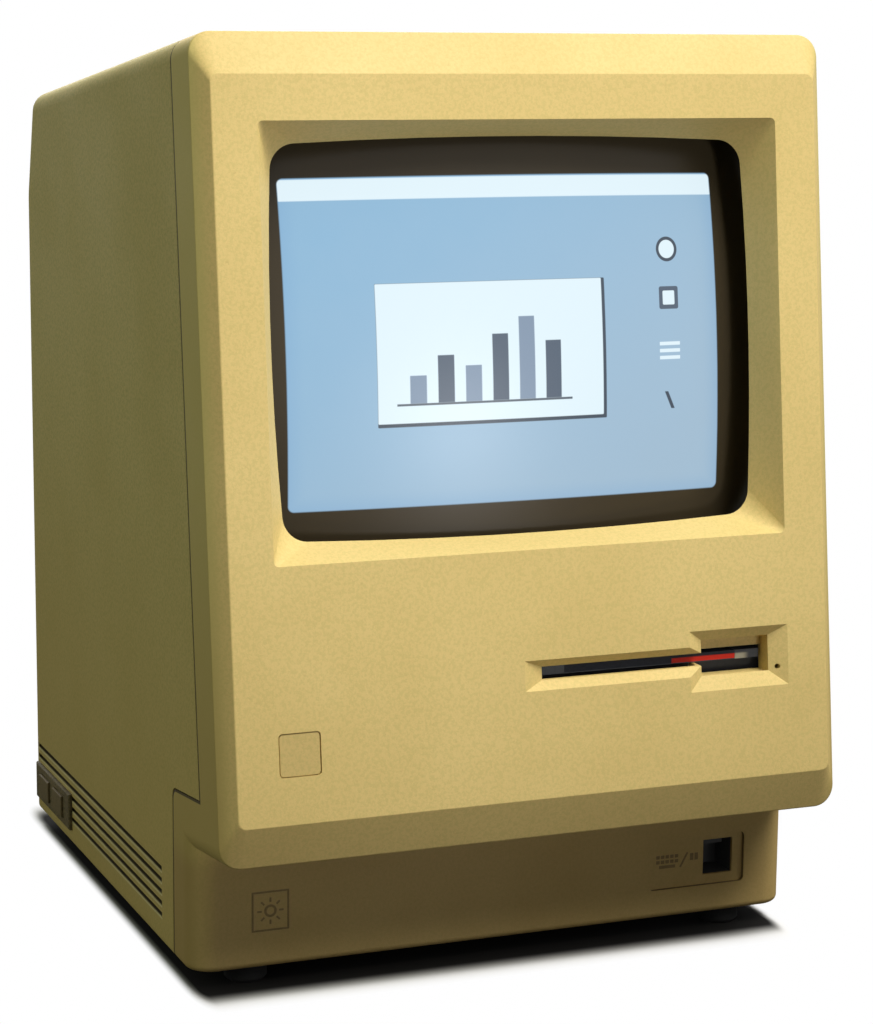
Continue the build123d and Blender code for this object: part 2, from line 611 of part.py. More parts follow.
# ---------------------------------------------------------------- shared forms
def leaning(u, v, depth):
    """The point at (u, v) up the slope and a depth behind the flat face."""
    behind_ring = depth - CHAMFER_DEPTH
    return Vector(
        u,
        RING_TOE_Y + v * sin(LEAN) + behind_ring * cos(LEAN),
        RING_BOTTOM_Z + v * cos(LEAN) - behind_ring * sin(LEAN),
    )


def face_plane(depth, u=0.0, v=0.0):
    """Plane parallel to the flat face, looking out of the front."""
    return Plane(leaning(u, v, depth), x_dir=(1, 0, 0), z_dir=(0, -cos(LEAN), sin(LEAN)))


def block(x0, x1, y0, y1, z0, z1):
    """Axis-aligned box between two corners."""
    size = (x1 - x0, y1 - y0, z1 - z0)
    return Pos((x0 + x1) / 2, (y0 + y1) / 2, (z0 + z1) / 2) * Box(*size)


def rod_x(x0, x1, y, z, radius):
    """Round rod along X."""
    return Pos((x0 + x1) / 2, y, z) * Rot(0, 90, 0) * Cylinder(radius, x1 - x0)


def rod_y(x, z, y0, y1, radius):
    """Round rod along Y."""
    return Pos(x, (y0 + y1) / 2, z) * Rot(90, 0, 0) * Cylinder(radius, y1 - y0)


def rod_z(x, y, z0, z1, radius):
    """Round rod along Z."""
    return Pos(x, y, (z0 + z1) / 2) * Cylinder(radius, z1 - z0)


def side_prism(outline, x0, x1):
    """Extrusion along X of a closed outline given as (y, z) points."""
    face = make_face(Polyline(*outline, close=True))
    return extrude(Plane.YZ.offset(x0) * face, amount=x1 - x0)


def rounded(width, height, radius):
    """Rectangle with round corners, whose radius never reaches half a side."""
    return RectangleRounded(width, height, min(radius, 0.49 * width, 0.49 * height))


# ---------------------------------------------------------------- housing form
def side_outline():
    """Corners of the housing seen from the side, as (y, z) points."""
    ring_top_y = RING_TOE_Y + RING_LENGTH * sin(LEAN)
    return [
        (RING_TOE_Y, RING_BOTTOM_Z),
        (CHIN_Y, OVERHANG_Z),
        (CHIN_Y, FOOT_HEIGHT),
        (REAR_Y, FOOT_HEIGHT),
        (REAR_Y, KINK_Z),
        (REAR_Y - REAR_TOP_SETBACK, REAR_TOP_Z),
        (ring_top_y, HEIGHT),
    ]


def ring_outline(inset):
    return rounded(WIDTH - 2 * inset, RING_LENGTH - 2 * inset, RING_RADIUS - inset)


def outline_corner(sketch, y, z):
    """The corner of a side outline that lies nearest to (y, z)."""
    return min(sketch.vertices(), key=lambda corner: (corner.X - y) ** 2 + (corner.Y - z) ** 2)


def body_form(inset):
    """The housing behind the ring as a solid, every wall moved inwards by the inset."""
    half = WIDTH / 2 - inset
    side = make_face(Polyline(*side_outline(), close=True))
    if inset:
        side = offset(side, -inset, kind=Kind.INTERSECTION)
    rear_top = outline_corner(side, REAR_Y - REAR_TOP_SETBACK, REAR_TOP_Z)
    side = fillet(rear_top, REAR_RADIUS - inset)
    side = fillet(outline_corner(side, REAR_Y, KINK_Z), KINK_RADIUS)
    body = extrude(Plane.YZ * side, amount=half, both=True)
    crest = [
        edge for edge in body.edges()
        if abs(abs(edge.center().X) - half) < 0.01
        and (edge.center().Y > REAR_Y - 3 * REAR_RADIUS or edge.center().Z > REAR_TOP_Z)
    ]
    body = fillet(crest, RING_RADIUS - inset)
    body -= corner_waste(inset) + mirror(corner_waste(inset), Plane.YZ)
    if BASE_RADIUS > inset:
        base = body.edges().group_by(Axis.Z)[0]
        body = fillet(base, BASE_RADIUS - inset)
    return body


def corner_waste(inset):
    """What the round corners of overhang and chin take off the left front of the body."""
    half = WIDTH / 2 - inset
    reach = RING_RADIUS + CHIN_RADIUS
    chin_y = CHIN_Y + inset
    top = RING_BOTTOM_Z + RING_RADIUS + 1
    corner = block(-half - 1, -half + reach, RING_TOE_Y - 5, chin_y + CHIN_RADIUS - inset, 0, top)
    overhang = extrude(face_plane(CHAMFER_DEPTH - 5, v=RING_LENGTH / 2) * ring_outline(inset),
                       amount=-CHIN_SETBACK - 2 * reach)
    plan = rounded(2 * half, DEPTH, CHIN_RADIUS - inset)
    chin = extrude(Pos(0, chin_y + DEPTH / 2, 0) * plan, amount=top)
    return corner - overhang - chin


def ring_face(body, depth):
    """The body's own face in the ring plane, from which the chamfer starts."""
    plane = face_plane(depth, v=RING_LENGTH / 2)
    return max((face for face in body.faces() if lies_on(face, plane)), key=lambda face: face.area)


def front_form(inset):
    """Body with the chamfered front before it, every wall moved inwards by the inset."""
    body = body_form(inset)
    width = WIDTH - 2 * (CHAMFER_SIDE + inset)
    height = RING_LENGTH - 2 * (CHAMFER_ENDS + inset)
    plane = face_plane(inset, v=RING_LENGTH / 2)
    face = plane * rounded(width, height, FACE_RADIUS)
    chamfer = loft([ring_face(body, CHAMFER_DEPTH + inset), face])
    if not inset:
        crest = [edge for edge in chamfer.edges() if lies_on(edge, plane)]
        chamfer = fillet(crest, EDGE_SOFTENING)
    form = body + chamfer
    if not inset:
        plane = face_plane(CHAMFER_DEPTH, v=RING_LENGTH / 2)
        crest = [edge for edge in form.edges() if lies_on(edge, plane)]
        form = fillet(crest, EDGE_SOFTENING)
    return form


def lies_on(shape, plane):
    """Whether every corner of an edge or a face, and its middle, lie on a plane."""
    points = [corner.center() for corner in shape.vertices()] + [shape.position_at(0.5)
              if isinstance(shape, Edge) else shape.center()]
    return all(abs(plane.to_local_coords(point).Z) < 0.02 for point in points)


def in_front_of_seam(shift):
    """Everything before the parting surface, which is moved back by the shift."""
    high, low = HEIGHT + 50, -50

    def seam_y(z):
        return RING_TOE_Y + SEAM_SETBACK + (z - RING_BOTTOM_Z) * tan(LEAN)

    step_y = seam_y(SEAM_STEP_Z)
    step_rear_z = SEAM_STEP_Z - (LOWER_SEAM_Y - step_y) * tan(LEAN)
    outline = make_face(Polyline(
        (seam_y(high), high), (step_y, SEAM_STEP_Z), (LOWER_SEAM_Y, step_rear_z), (LOWER_SEAM_Y, low),
        (-FAR, low), (-FAR, high), close=True))
    if shift:
        outline = offset(outline, shift, kind=Kind.INTERSECTION)
    outline = fillet(outline_corner(outline, LOWER_SEAM_Y + shift, step_rear_z + shift), SEAM_STEP_RADIUS)
    return extrude(Plane.YZ * outline, amount=WIDTH, both=True)


# ---------------------------------------------------------------- bezel
def opening_outline(grow):
    """Tube opening: a rectangle whose four sides bow outward and whose corners are round."""
    right, top = OPENING_WIDTH / 2 + grow, OPENING_HEIGHT / 2 + grow
    a, b = right - OPENING_BULGE, top - OPENING_BULGE
    sides = [
        ThreePointArc((-a, -b), (0, -top), (a, -b)), ThreePointArc((a, -b), (right, 0), (a, b)),
        ThreePointArc((a, b), (0, top), (-a, b)), ThreePointArc((-a, b), (-right, 0), (-a, -b)),
    ]
    outline = make_face(sides)
    return fillet(outline.vertices(), OPENING_RADIUS + grow)


def screen_funnel(grow, start):
    """Tapering space between the flat face and the tube, or the wall round it."""
    outer = rounded(RECESS_WIDTH + 2 * grow, RECESS_HEIGHT + 2 * grow, RECESS_RADIUS + grow)
    return loft([face_plane(start, v=SCREEN_V) * outer,
                 face_plane(OPENING_DEPTH, v=SCREEN_V) * opening_outline(grow)])


def slope_v(z, depth):
    """Distance up the slope of a point at height z, a depth behind the face."""
    return (z - RING_BOTTOM_Z + (depth - CHAMFER_DEPTH) * sin(LEAN)) / cos(LEAN)


def bevel_pocket(outer, inner, start, depth):
    """Loft between two rectangles (u0, u1, v0, v1), the inner one deeper behind the face."""
    ends = []
    for (u0, u1, v0, v1), level in ((outer, start), (inner, depth)):
        ends.append(face_plane(level, (u0 + u1) / 2, (v0 + v1) / 2) * Rectangle(u1 - u0, v1 - v0))
    return loft(ends)


def grown(area, by):
    u0, u1, v0, v1 = area
    return (u0 - by, u1 + by, v0 - by, v1 + by)


def slab(area, start, depth):
    return bevel_pocket(area, area, start, depth)


SLIT = (SLOT_LEFT, SLOT_RIGHT, slope_v(SLOT_Z - SLOT_HEIGHT / 2, SLOT_DEPTH),
        slope_v(SLOT_Z + SLOT_HEIGHT / 2, SLOT_DEPTH))
GROOVE = (SLOT_LEFT - GROOVE_MARGIN, NOTCH_HOLE_LEFT, GROOVE_BOTTOM_V, GROOVE_TOP_V)
NOTCH = (NOTCH_LEFT, NOTCH_RIGHT, NOTCH_BOTTOM_V, NOTCH_TOP_V)
NOTCH_HOLE = (NOTCH_HOLE_LEFT, SLOT_RIGHT, NOTCH_HOLE_BOTTOM_V, NOTCH_HOLE_TOP_V)


def slot_wall():
    """Material behind the slot's bevels and round the pocket in the notch."""
    groove = bevel_pocket(grown(GROOVE, LIP_WALL), grown(SLIT, LIP_WALL), WALL / 2, SLOT_DEPTH + LIP_WALL)
    notch = slab(grown(NOTCH_HOLE, LIP_WALL), WALL / 2, NOTCH_POCKET_DEPTH + LIP_WALL)
    rim = bevel_pocket(grown(NOTCH, LIP_WALL), grown(NOTCH_HOLE, LIP_WALL), WALL / 2, SLOT_DEPTH + LIP_WALL)
    return groove + notch + rim


def slot_space():
    """Bevels, slit, notch and the emergency pinhole."""
    groove = bevel_pocket(GROOVE, (SLIT[0], NOTCH_HOLE_LEFT, SLIT[2], SLIT[3]), 0, SLOT_DEPTH)
    notch = bevel_pocket(NOTCH, NOTCH_HOLE, 0, SLOT_DEPTH)
    pocket = slab(NOTCH_HOLE, SLOT_DEPTH, NOTCH_POCKET_DEPTH)
    behind = leaning(0, SLIT[2], NOTCH_POCKET_DEPTH + 4 * LIP_WALL).Y
    slit = block(SLOT_LEFT, SLOT_RIGHT, -FAR, behind, SLOT_Z - SLOT_HEIGHT / 2, SLOT_Z + SLOT_HEIGHT / 2)
    low = leaning(0, NOTCH_HOLE_BOTTOM_V, NOTCH_POCKET_DEPTH).Z
    under = block(NOTCH_HOLE_LEFT, SLOT_RIGHT, leaning(0, NOTCH_HOLE_BOTTOM_V, SLOT_DEPTH).Y, behind,
                  low, SLOT_Z)
    pinhole = extrude(face_plane(-1, PINHOLE_U, PINHOLE_V) * Circle(PINHOLE_RADIUS), amount=-PINHOLE_LENGTH)
    return groove + notch + pocket + slit + under + pinhole


def post(u, v, start, end, radius, bore=0.0):
    """Round post along the depth direction of the leaning frame, with a blind bore from its end."""
    solid = extrude(face_plane(start, u, v) * Circle(radius), amount=start - end)
    if bore:
        solid -= extrude(face_plane(end, u, v) * Circle(bore), amount=min(SCREW_LENGTH, end - start - WALL))
    return solid


def screw(u, v, seat, radius=SCREW_RADIUS, length=SCREW_LENGTH):
    """Pan-head screw whose head seats at a depth and whose shank points to the front."""
    shank = post(u, v, seat - length + 1, seat, radius)
    head = post(u, v, seat, seat + HEAD_HEIGHT, HEAD_RADIUS)
    hexagon = face_plane(seat + HEAD_HEIGHT, u, v) * RegularPolygon(HEAD_RADIUS / 2, 6)
    socket = extrude(hexagon, amount=HEAD_HEIGHT / 2)
    return shank + head - socket


def front_bezel():
    bezel = (front_form(0) & in_front_of_seam(0)) - front_form(WALL)
    inner = WALL + LIP_CLEARANCE + LIP_THICKNESS
    root = (front_form(WALL) & in_front_of_seam(0)) - in_front_of_seam(-LIP_ROOT)
    tongue = (front_form(WALL + LIP_CLEARANCE) & in_front_of_seam(LIP_REACH)) - in_front_of_seam(-LIP_ROOT)
    bezel += (root + tongue) - front_form(inner)
    bezel += screen_funnel(FUNNEL_WALL, WALL / 2) + slot_wall()
    posts = [post(u, v, 0, LUG_SEAT, POST_RADIUS, PILOT_RADIUS) for u, v in LUG_PLACES]
    posts += [post(u, UPPER_SCREW_V, 0, UPPER_SEAT, POST_RADIUS, PILOT_RADIUS) for u in UPPER_SCREWS]
    front = leaning(0, slope_v(CHASSIS_POST_Z, 0), 0).Y
    posts += [
        rod_y(x, CHASSIS_POST_Z, front, CHASSIS_FRONT_Y, POST_RADIUS)
        - rod_y(x, CHASSIS_POST_Z, CHASSIS_FRONT_Y - SCREW_LENGTH, CHASSIS_FRONT_Y, PILOT_RADIUS)
        for x in CHASSIS_POSTS
    ]
    bezel += Compound(children=posts) & front_form(WALL / 2)
    pot_wall_x = POT_X + POT_THICKNESS
    bezel += block(pot_wall_x, pot_wall_x + WALL / 2, RING_TOE_Y, WHEEL_Y + POT_SIZE / 2,
                   OVERHANG_Z, WHEEL_Z + POT_SIZE - POT_DROP) & front_form(WALL / 2)
    bezel -= screen_funnel(0, 0) + slot_space()
    badge = face_plane(0, BADGE_U, BADGE_V) * rounded(BADGE_SIZE, BADGE_SIZE, BADGE_RADIUS)
    bezel -= extrude(badge, amount=-BADGE_DEPTH)
    half = WHEEL_RADIUS + WHEEL_CLEARANCE
    side = WHEEL_WIDTH / 2 + WHEEL_CLEARANCE
    bezel -= block(WHEEL_X - side, WHEEL_X + side, WHEEL_Y - half, WHEEL_Y + half,
                   OVERHANG_Z - WALL, OVERHANG_Z + 2 * WALL)
    recess = Pos((JACK_RECESS_LEFT + JACK_RECESS_RIGHT) / 2, (JACK_RECESS_BOTTOM_Z + JACK_RECESS_TOP_Z) / 2)
    recess *= rounded(JACK_RECESS_RIGHT - JACK_RECESS_LEFT, JACK_RECESS_TOP_Z - JACK_RECESS_BOTTOM_Z,
                      JACK_RECESS_RADIUS)
    chin_plane = Plane((0, CHIN_Y, 0), x_dir=(1, 0, 0), z_dir=(0, -1, 0))
    bezel -= extrude(chin_plane * recess, amount=-JACK_RECESS_DEPTH)
    hole = Pos(JACK_U, JACK_MID_Z) * Rectangle(JACK_HOLE_WIDTH, JACK_HOLE_HEIGHT)
    bezel -= extrude(chin_plane * hole, amount=-2 * WALL)
    for x in (-FOOT_X, FOOT_X):
        bezel -= rod_z(x, CHIN_Y + FRONT_FOOT_SETBACK, 0, FOOT_HEIGHT + 2 * WALL, PLUG_RADIUS + PLUG_CLEARANCE)
    return bezel


def badge_plate():
    """Blank plate in the badge recess."""
    size = BADGE_SIZE - 2 * BADGE_GAP
    plate = rounded(size, size, BADGE_RADIUS - BADGE_GAP / 2)
    return extrude(face_plane(BADGE_DEPTH, BADGE_U, BADGE_V) * plate, amount=BADGE_PLATE_THICKNESS)


# ---------------------------------------------------------------- rear case
def d_outline(width, height):
    """Connector outline, a rectangle whose lower corners are drawn in."""
    slant = height * tan(radians(SHELL_SLANT))
    half = width / 2
    high, low = height / 2, -height / 2
    points = [(-half, high), (half, high), (half - slant, low), (-half + slant, low)]
    face = make_face(Polyline(*points, close=True))
    return fillet(face.vertices(), height / 5)


def rear_plane(y, x=0.0, z=0.0):
    """Upright plane that looks to the rear; its first axis points to the left as seen from the front."""
    return Plane((x, y, z), x_dir=(-1, 0, 0), z_dir=(0, 1, 0))


def socket_row():
    """Each socket's place along X and shell width, by node name, then the audio jack's place along X."""
    shells = {"mouse_port": SMALL_SHELL, "drive_port": LARGE_SHELL, "printer_port": SMALL_SHELL,
              "modem_port": SMALL_SHELL}
    gap = PANEL_X1 - PANEL_X0 - AUDIO_BODY - sum(flange_width(shell) for shell in shells.values())
    gap /= len(shells) + 2
    row = {}
    x = PANEL_X1 - gap
    for name, shell in shells.items():
        row[name] = (x - flange_width(shell) / 2, shell)
        x -= flange_width(shell) + gap
    return row, x - AUDIO_BODY / 2


def flange_width(shell):
    """Width of a socket's flange, which reaches just past its two threaded posts."""
    return shell + 2 * (NUT_MARGIN + NUT_RADIUS)


PORTS, AUDIO_X = socket_row()


def nut_places(x, shell):
    """Where the two threaded posts of a socket stand along X."""
    return (x - shell / 2 - NUT_MARGIN, x + shell / 2 + NUT_MARGIN)


def handle_block():
    """Solid that the well and the bar are cut from."""
    return block(-WELL_HALF_WIDTH - WALL, WELL_HALF_WIDTH + WALL, WELL_FRONT_Y - WALL, REAR_Y,
                 WELL_FLOOR_Z - WALL, HEIGHT)


def handle_space():
    """Well in front of the bar, passage under the bar and the pockets in its underside."""
    half = WELL_HALF_WIDTH
    well = block(-half, half, WELL_FRONT_Y, BAR_FRONT_Y, WELL_FLOOR_Z, HEIGHT)
    passage = block(-half, half, WELL_FRONT_Y, REAR_Y + WALL, WELL_FLOOR_Z, BAR_UNDERSIDE_Z)
    space = fillet((well + passage).edges().filter_by(Axis.X).filter_by(
        lambda e: abs(e.center().Y - BAR_FRONT_Y) < 0.01), BAR_WALL)
    pitch = (2 * half - BAR_WALL) / BAR_POCKETS
    bar_rear = REAR_Y - REAR_TOP_SETBACK - 2 * BAR_WALL
    for i in range(BAR_POCKETS):
        x = -half + BAR_WALL + i * pitch
        space += block(x, x + pitch - BAR_WALL, BAR_FRONT_Y + 2 * BAR_WALL, bar_rear,
                       BAR_UNDERSIDE_Z - 1, BAR_UNDERSIDE_Z + BAR_POCKET_DEPTH)
    return space


def top_slots():
    """Air slots that run back over the shoulder on both sides of the handle."""
    slots = []
    for i in range(TOP_SLOTS):
        x = TOP_SLOT_OUTER_X - i * TOP_SLOT_PITCH
        for side in (-1, 1):
            x0 = side * x - TOP_SLOT_WIDTH / 2
            slots.append(block(x0, x0 + TOP_SLOT_WIDTH, TOP_SLOT_FRONT_Y, REAR_Y + 1, TOP_SLOT_BOTTOM_Z, HEIGHT))
    return slots


def side_slot(i, x0, x1, y0=SIDE_SLOT_FRONT_Y, y1=SIDE_SLOT_REAR_Y, trim=0.0):
    """Space of one low side slot, less a trim all round."""
    z = SIDE_SLOT_TOP_Z - i * SIDE_SLOT_PITCH
    half = SIDE_SLOT_HEIGHT / 2 - trim
    return block(x0, x1, y0, y1, z - half, z + half)


def rear_case():
    form = front_form(0) - in_front_of_seam(SEAM_GAP)
    case = form - front_form(WALL)
    panel = block(PANEL_X0 - WALL, PANEL_X1 + WALL, PANEL_INSIDE_Y, REAR_Y, PANEL_BOTTOM_Z - WALL,
                  PANEL_TOP_Z + WALL)
    bay = block(MAINS_X - BAY_WIDTH / 2 - WALL, MAINS_X + BAY_WIDTH / 2 + WALL,
                REAR_Y - DOOR_THICKNESS - BAY_DEPTH - WALL, REAR_Y,
                BAY_Z - BAY_HEIGHT / 2 - WALL, BAY_Z + BAY_HEIGHT / 2 + WALL)
    door_rim = block(MAINS_X - DOOR_HALF_WIDTH - WALL, MAINS_X + DOOR_HALF_WIDTH + WALL,
                     REAR_Y - DOOR_THICKNESS - WALL, REAR_Y,
                     BAY_Z - DOOR_HALF_HEIGHT - WALL, BAY_Z + DOOR_HALF_HEIGHT + WALL)
    tubes = [
        post(u, UPPER_SCREW_V, UPPER_SEAT, FAR, POST_RADIUS + WALL / 2)
        & block(-WIDTH, WIDTH, -DEPTH, WELL_FRONT_Y, 0, HEIGHT + DEPTH) for u in UPPER_SCREWS
    ]
    well_y = LOWER_SCREW_SEAT - WALL
    wells = [rod_y(x, LOWER_SCREW_Z, well_y, REAR_Y, HEAD_RADIUS + WALL) for x in LOWER_SCREWS]
    case += Compound(children=[panel, bay, door_rim, handle_block(), *tubes, *wells]) & form
    case -= block(PANEL_X0, PANEL_X1, REAR_Y - PANEL_RECESS, REAR_Y + 1, PANEL_BOTTOM_Z, PANEL_TOP_Z)
    for x, shell in PORTS.values():
        hole = d_outline(shell + 2 * PORT_CLEARANCE, SHELL_HEIGHT + 2 * PORT_CLEARANCE)
        case -= extrude(rear_plane(PANEL_INSIDE_Y - 1, x, PORT_Z) * hole, amount=2 * WALL)
        for nut_x in nut_places(x, shell):
            case -= rod_y(nut_x, PORT_Z, PANEL_INSIDE_Y - 1, REAR_Y, SCREW_RADIUS + SCREW_CLEARANCE)
    case -= rod_y(AUDIO_X, PORT_Z, PANEL_INSIDE_Y - 1, REAR_Y, AUDIO_NOSE_RADIUS + PORT_CLEARANCE)
    inlet = rear_plane(REAR_Y - 2 * WALL, MAINS_X, INLET_Z) * Rectangle(
        INLET_WIDTH + 2 * BAY_CLEARANCE, INLET_HEIGHT + 2 * BAY_CLEARANCE)
    switch = rear_plane(REAR_Y - 2 * WALL, MAINS_X, SWITCH_Z) * Rectangle(
        SWITCH_WIDTH + 2 * (SWITCH_WALL + BAY_CLEARANCE), SWITCH_HEIGHT + 2 * (SWITCH_WALL + BAY_CLEARANCE))
    case -= extrude(inlet, amount=3 * WALL) + extrude(switch, amount=3 * WALL)
    case -= handle_space()
    case -= block(MAINS_X - BAY_WIDTH / 2, MAINS_X + BAY_WIDTH / 2, REAR_Y - DOOR_THICKNESS - BAY_DEPTH,
                  REAR_Y + 1, BAY_Z - BAY_HEIGHT / 2, BAY_Z + BAY_HEIGHT / 2)
    case -= block(MAINS_X - DOOR_HALF_WIDTH - DOOR_GAP, MAINS_X + DOOR_HALF_WIDTH + DOOR_GAP,
                  REAR_Y - DOOR_THICKNESS - DOOR_GAP, REAR_Y + 1,
                  BAY_Z - DOOR_HALF_HEIGHT - DOOR_GAP, BAY_Z + DOOR_HALF_HEIGHT + DOOR_GAP)
    for u in UPPER_SCREWS:
        case -= post(u, UPPER_SCREW_V, UPPER_SEAT + WALL, FAR, HEAD_RADIUS + SEAM_GAP)
        case -= post(u, UPPER_SCREW_V, UPPER_SEAT - 1, UPPER_SEAT + 2 * WALL, PILOT_RADIUS + SEAM_GAP)
    for x in LOWER_SCREWS:
        case -= rod_y(x, LOWER_SCREW_Z, LOWER_SCREW_SEAT, REAR_Y + 1, HEAD_RADIUS + SEAM_GAP)
        case -= rod_y(x, LOWER_SCREW_Z, LOWER_SCREW_SEAT - 2 * WALL, REAR_Y, PILOT_RADIUS + SEAM_GAP)
    for slot in top_slots():
        case -= slot
    reach = WIDTH / 2 + 1
    for i in range(SIDE_SLOTS):
        case -= side_slot(i, -reach, -reach + 1 + 2 * WALL)
        case -= side_slot(i, reach - 1 - 2 * WALL, reach)
    for x in (-FOOT_X, FOOT_X):
        case -= rod_z(x, REAR_Y - REAR_FOOT_SETBACK, 0, FOOT_HEIGHT + 2 * WALL, PLUG_RADIUS + PLUG_CLEARANCE)
    return case


def battery_door():
    """Flush door whose lower edge is round, so that it can roll out of its rim."""
    top = BAY_Z + DOOR_HALF_HEIGHT
    axis_y, axis_z = door_axis()
    r = DOOR_THICKNESS / 2
    plate = block(MAINS_X - DOOR_HALF_WIDTH, MAINS_X + DOOR_HALF_WIDTH, REAR_Y - DOOR_THICKNESS, REAR_Y,
                  axis_z, top)
    door = plate + rod_x(MAINS_X - DOOR_HALF_WIDTH, MAINS_X + DOOR_HALF_WIDTH, axis_y, axis_z, r)
    rib = BAY_CLEARANCE + DOOR_GAP
    rib_half = BAY_WIDTH / 2 - rib
    rib_z = top - DOOR_MARGIN - rib
    door += block(MAINS_X - rib_half, MAINS_X + rib_half, REAR_Y - DOOR_THICKNESS - 2 * r,
                  REAR_Y - DOOR_THICKNESS, rib_z - 2 * r, rib_z)
    nick_y = REAR_Y + DOOR_NICK_RADIUS - DOOR_THICKNESS / 2
    nick = Pos(MAINS_X, nick_y, top - DOOR_MARGIN) * Sphere(DOOR_NICK_RADIUS)
    return door - nick


def door_axis():
    """Hinge line of the battery door as (y, z)."""
    return REAR_Y - DOOR_THICKNESS / 2, BAY_Z - DOOR_HALF_HEIGHT + DOOR_THICKNESS / 2


def battery():
    """Clock battery, upright, with its small positive cap at the top."""
    y = REAR_Y - DOOR_THICKNESS - BAY_DEPTH + BATTERY_RADIUS + 2 * BAY_CLEARANCE
    bottom = BAY_Z - BATTERY_LENGTH / 2
    top = bottom + BATTERY_LENGTH
    body = rod_z(MAINS_X, y, bottom, top - BATTERY_CAP, BATTERY_RADIUS)
    return body + rod_z(MAINS_X, y, top - BATTERY_CAP, top, BATTERY_RADIUS / 3)


def battery_contacts():
    """Bent spring strips at both ends of the battery."""
    y0 = REAR_Y - DOOR_THICKNESS - BAY_DEPTH
    y1 = y0 + 2 * BATTERY_RADIUS
    half = BATTERY_RADIUS / 2
    gap = (BAY_HEIGHT - BATTERY_LENGTH) / 2
    contacts = []
    for side in (-1, 1):
        wall_z = BAY_Z + side * BAY_HEIGHT / 2
        touch_z = wall_z - side * gap
        strip_z = wall_z - side * CONTACT_THICKNESS
        middle = (y0 + y1) / 2
        points = [(y1, wall_z), (y0, wall_z), (y0, strip_z), (y1 - 2 * CONTACT_FLAT, strip_z),
                  (middle + CONTACT_FLAT / 2, touch_z), (middle + 1.5 * CONTACT_FLAT, touch_z), (y1, strip_z)]
        contacts.append(side_prism(points, MAINS_X - half, MAINS_X + half))
    return Compound(children=contacts)


# ---------------------------------------------------------------- feet and case screws
def foot(x, y):
    """Turned rubber foot with a plug in the floor of the housing."""
    r = FOOT_RADIUS
    outline = make_face(Polyline(
        (0, 0), (r - FOOT_ROUND, 0), (r, FOOT_ROUND), (r, FOOT_HEIGHT), (PLUG_RADIUS, FOOT_HEIGHT),
        (PLUG_RADIUS, FOOT_HEIGHT + WALL), (0, FOOT_HEIGHT + WALL), close=True))
    return Pos(x, y, 0) * revolve(Plane.XZ * outline, Axis.Z)


def feet(y):
    return Compound(children=[foot(-FOOT_X, y), foot(FOOT_X, y)])


def straight_screw(x, z, seat, length=SCREW_LENGTH):
    """Pan-head screw along Y, driven from the rear."""
    shank = rod_y(x, z, seat - length, seat, SCREW_RADIUS)
    socket = Pos(x, seat + HEAD_HEIGHT, z) * Rot(90, 0, 0) * extrude(
        RegularPolygon(HEAD_RADIUS / 2, 6), amount=HEAD_HEIGHT / 2)
    return shank + rod_y(x, z, seat, seat + HEAD_HEIGHT, HEAD_RADIUS) - socket


def case_screws():
    """Two reached under the handle bar and two low in the rear wall."""
    upper = [screw(u, UPPER_SCREW_V, UPPER_SEAT + WALL) for u in UPPER_SCREWS]
    lower = [straight_screw(x, LOWER_SCREW_Z, LOWER_SCREW_SEAT) for x in LOWER_SCREWS]
    return Compound(children=[*upper, *lower])


# ---------------------------------------------------------------- picture tube
def tube_plane(depth):
    return face_plane(depth, v=SCREEN_V)


def turned(points):
    """Solid of revolution about the tube's axis from (radius, depth) points."""
    outline = make_face(Polyline(*[(r, -depth) for r, depth in points], close=True))
    axis_plane = tube_plane(0)
    half = Plane(axis_plane.origin, x_dir=(1, 0, 0), z_dir=-axis_plane.y_dir)
    return revolve(half * outline, Axis(axis_plane.origin, axis_plane.z_dir))


def picture_tube():
    """Spherical screen, straight skirt, cone, throat and neck."""
    outline = rounded(TUBE_WIDTH, TUBE_HEIGHT, TUBE_RADIUS)
    skirt = extrude(tube_plane(GLASS_DEPTH - 1) * outline, amount=-TUBE_SKIRT - 1)
    ball_centre = leaning(0, SCREEN_V, GLASS_DEPTH + GLASS_RADIUS)
    skirt &= Pos(ball_centre) * Sphere(GLASS_RADIUS)
    throat = rounded(2 * THROAT_RADIUS, 2 * THROAT_RADIUS, THROAT_RADIUS)
    cone = loft([tube_plane(CONE_START) * outline, tube_plane(CONE_END) * throat], ruled=True)
    rear = turned([(0, CONE_END), (0.97 * THROAT_RADIUS, CONE_END), (NECK_RADIUS, NECK_START),
                   (NECK_RADIUS, NECK_END), (0, NECK_END)])
    return skirt + cone + rear


def tube_band():
    """Steel band shrunk on the skirt, with four lugs."""
    outer = rounded(TUBE_WIDTH + 2 * BAND_THICKNESS, TUBE_HEIGHT + 2 * BAND_THICKNESS,
                    TUBE_RADIUS + BAND_THICKNESS)
    glass = rounded(TUBE_WIDTH, TUBE_HEIGHT, TUBE_RADIUS)
    band = extrude(tube_plane(BAND_DEPTH - BAND_WIDTH / 2) * (outer - glass), amount=-BAND_WIDTH)
    for u, v in LUG_PLACES:
        root_u = (TUBE_WIDTH / 2 - TUBE_RADIUS) * (1 if u > 0 else -1)
        root_v = SCREEN_V + (TUBE_HEIGHT / 2 - TUBE_RADIUS) * (1 if v > SCREEN_V else -1)
        discs = [Pos(x, y - SCREEN_V) * Circle(LUG_RADIUS) for x, y in ((u, v), (root_u, root_v))]
        ear = make_hull([*discs[0].edges(), *discs[1].edges()])
        ear = ear - glass - Pos(u, v - SCREEN_V) * Circle(PILOT_RADIUS)
        band += extrude(tube_plane(LUG_SEAT) * ear, amount=-BAND_THICKNESS)
    return band


def tube_screws():
    return Compound(children=[screw(u, v, LUG_SEAT + BAND_THICKNESS) for u, v in LUG_PLACES])


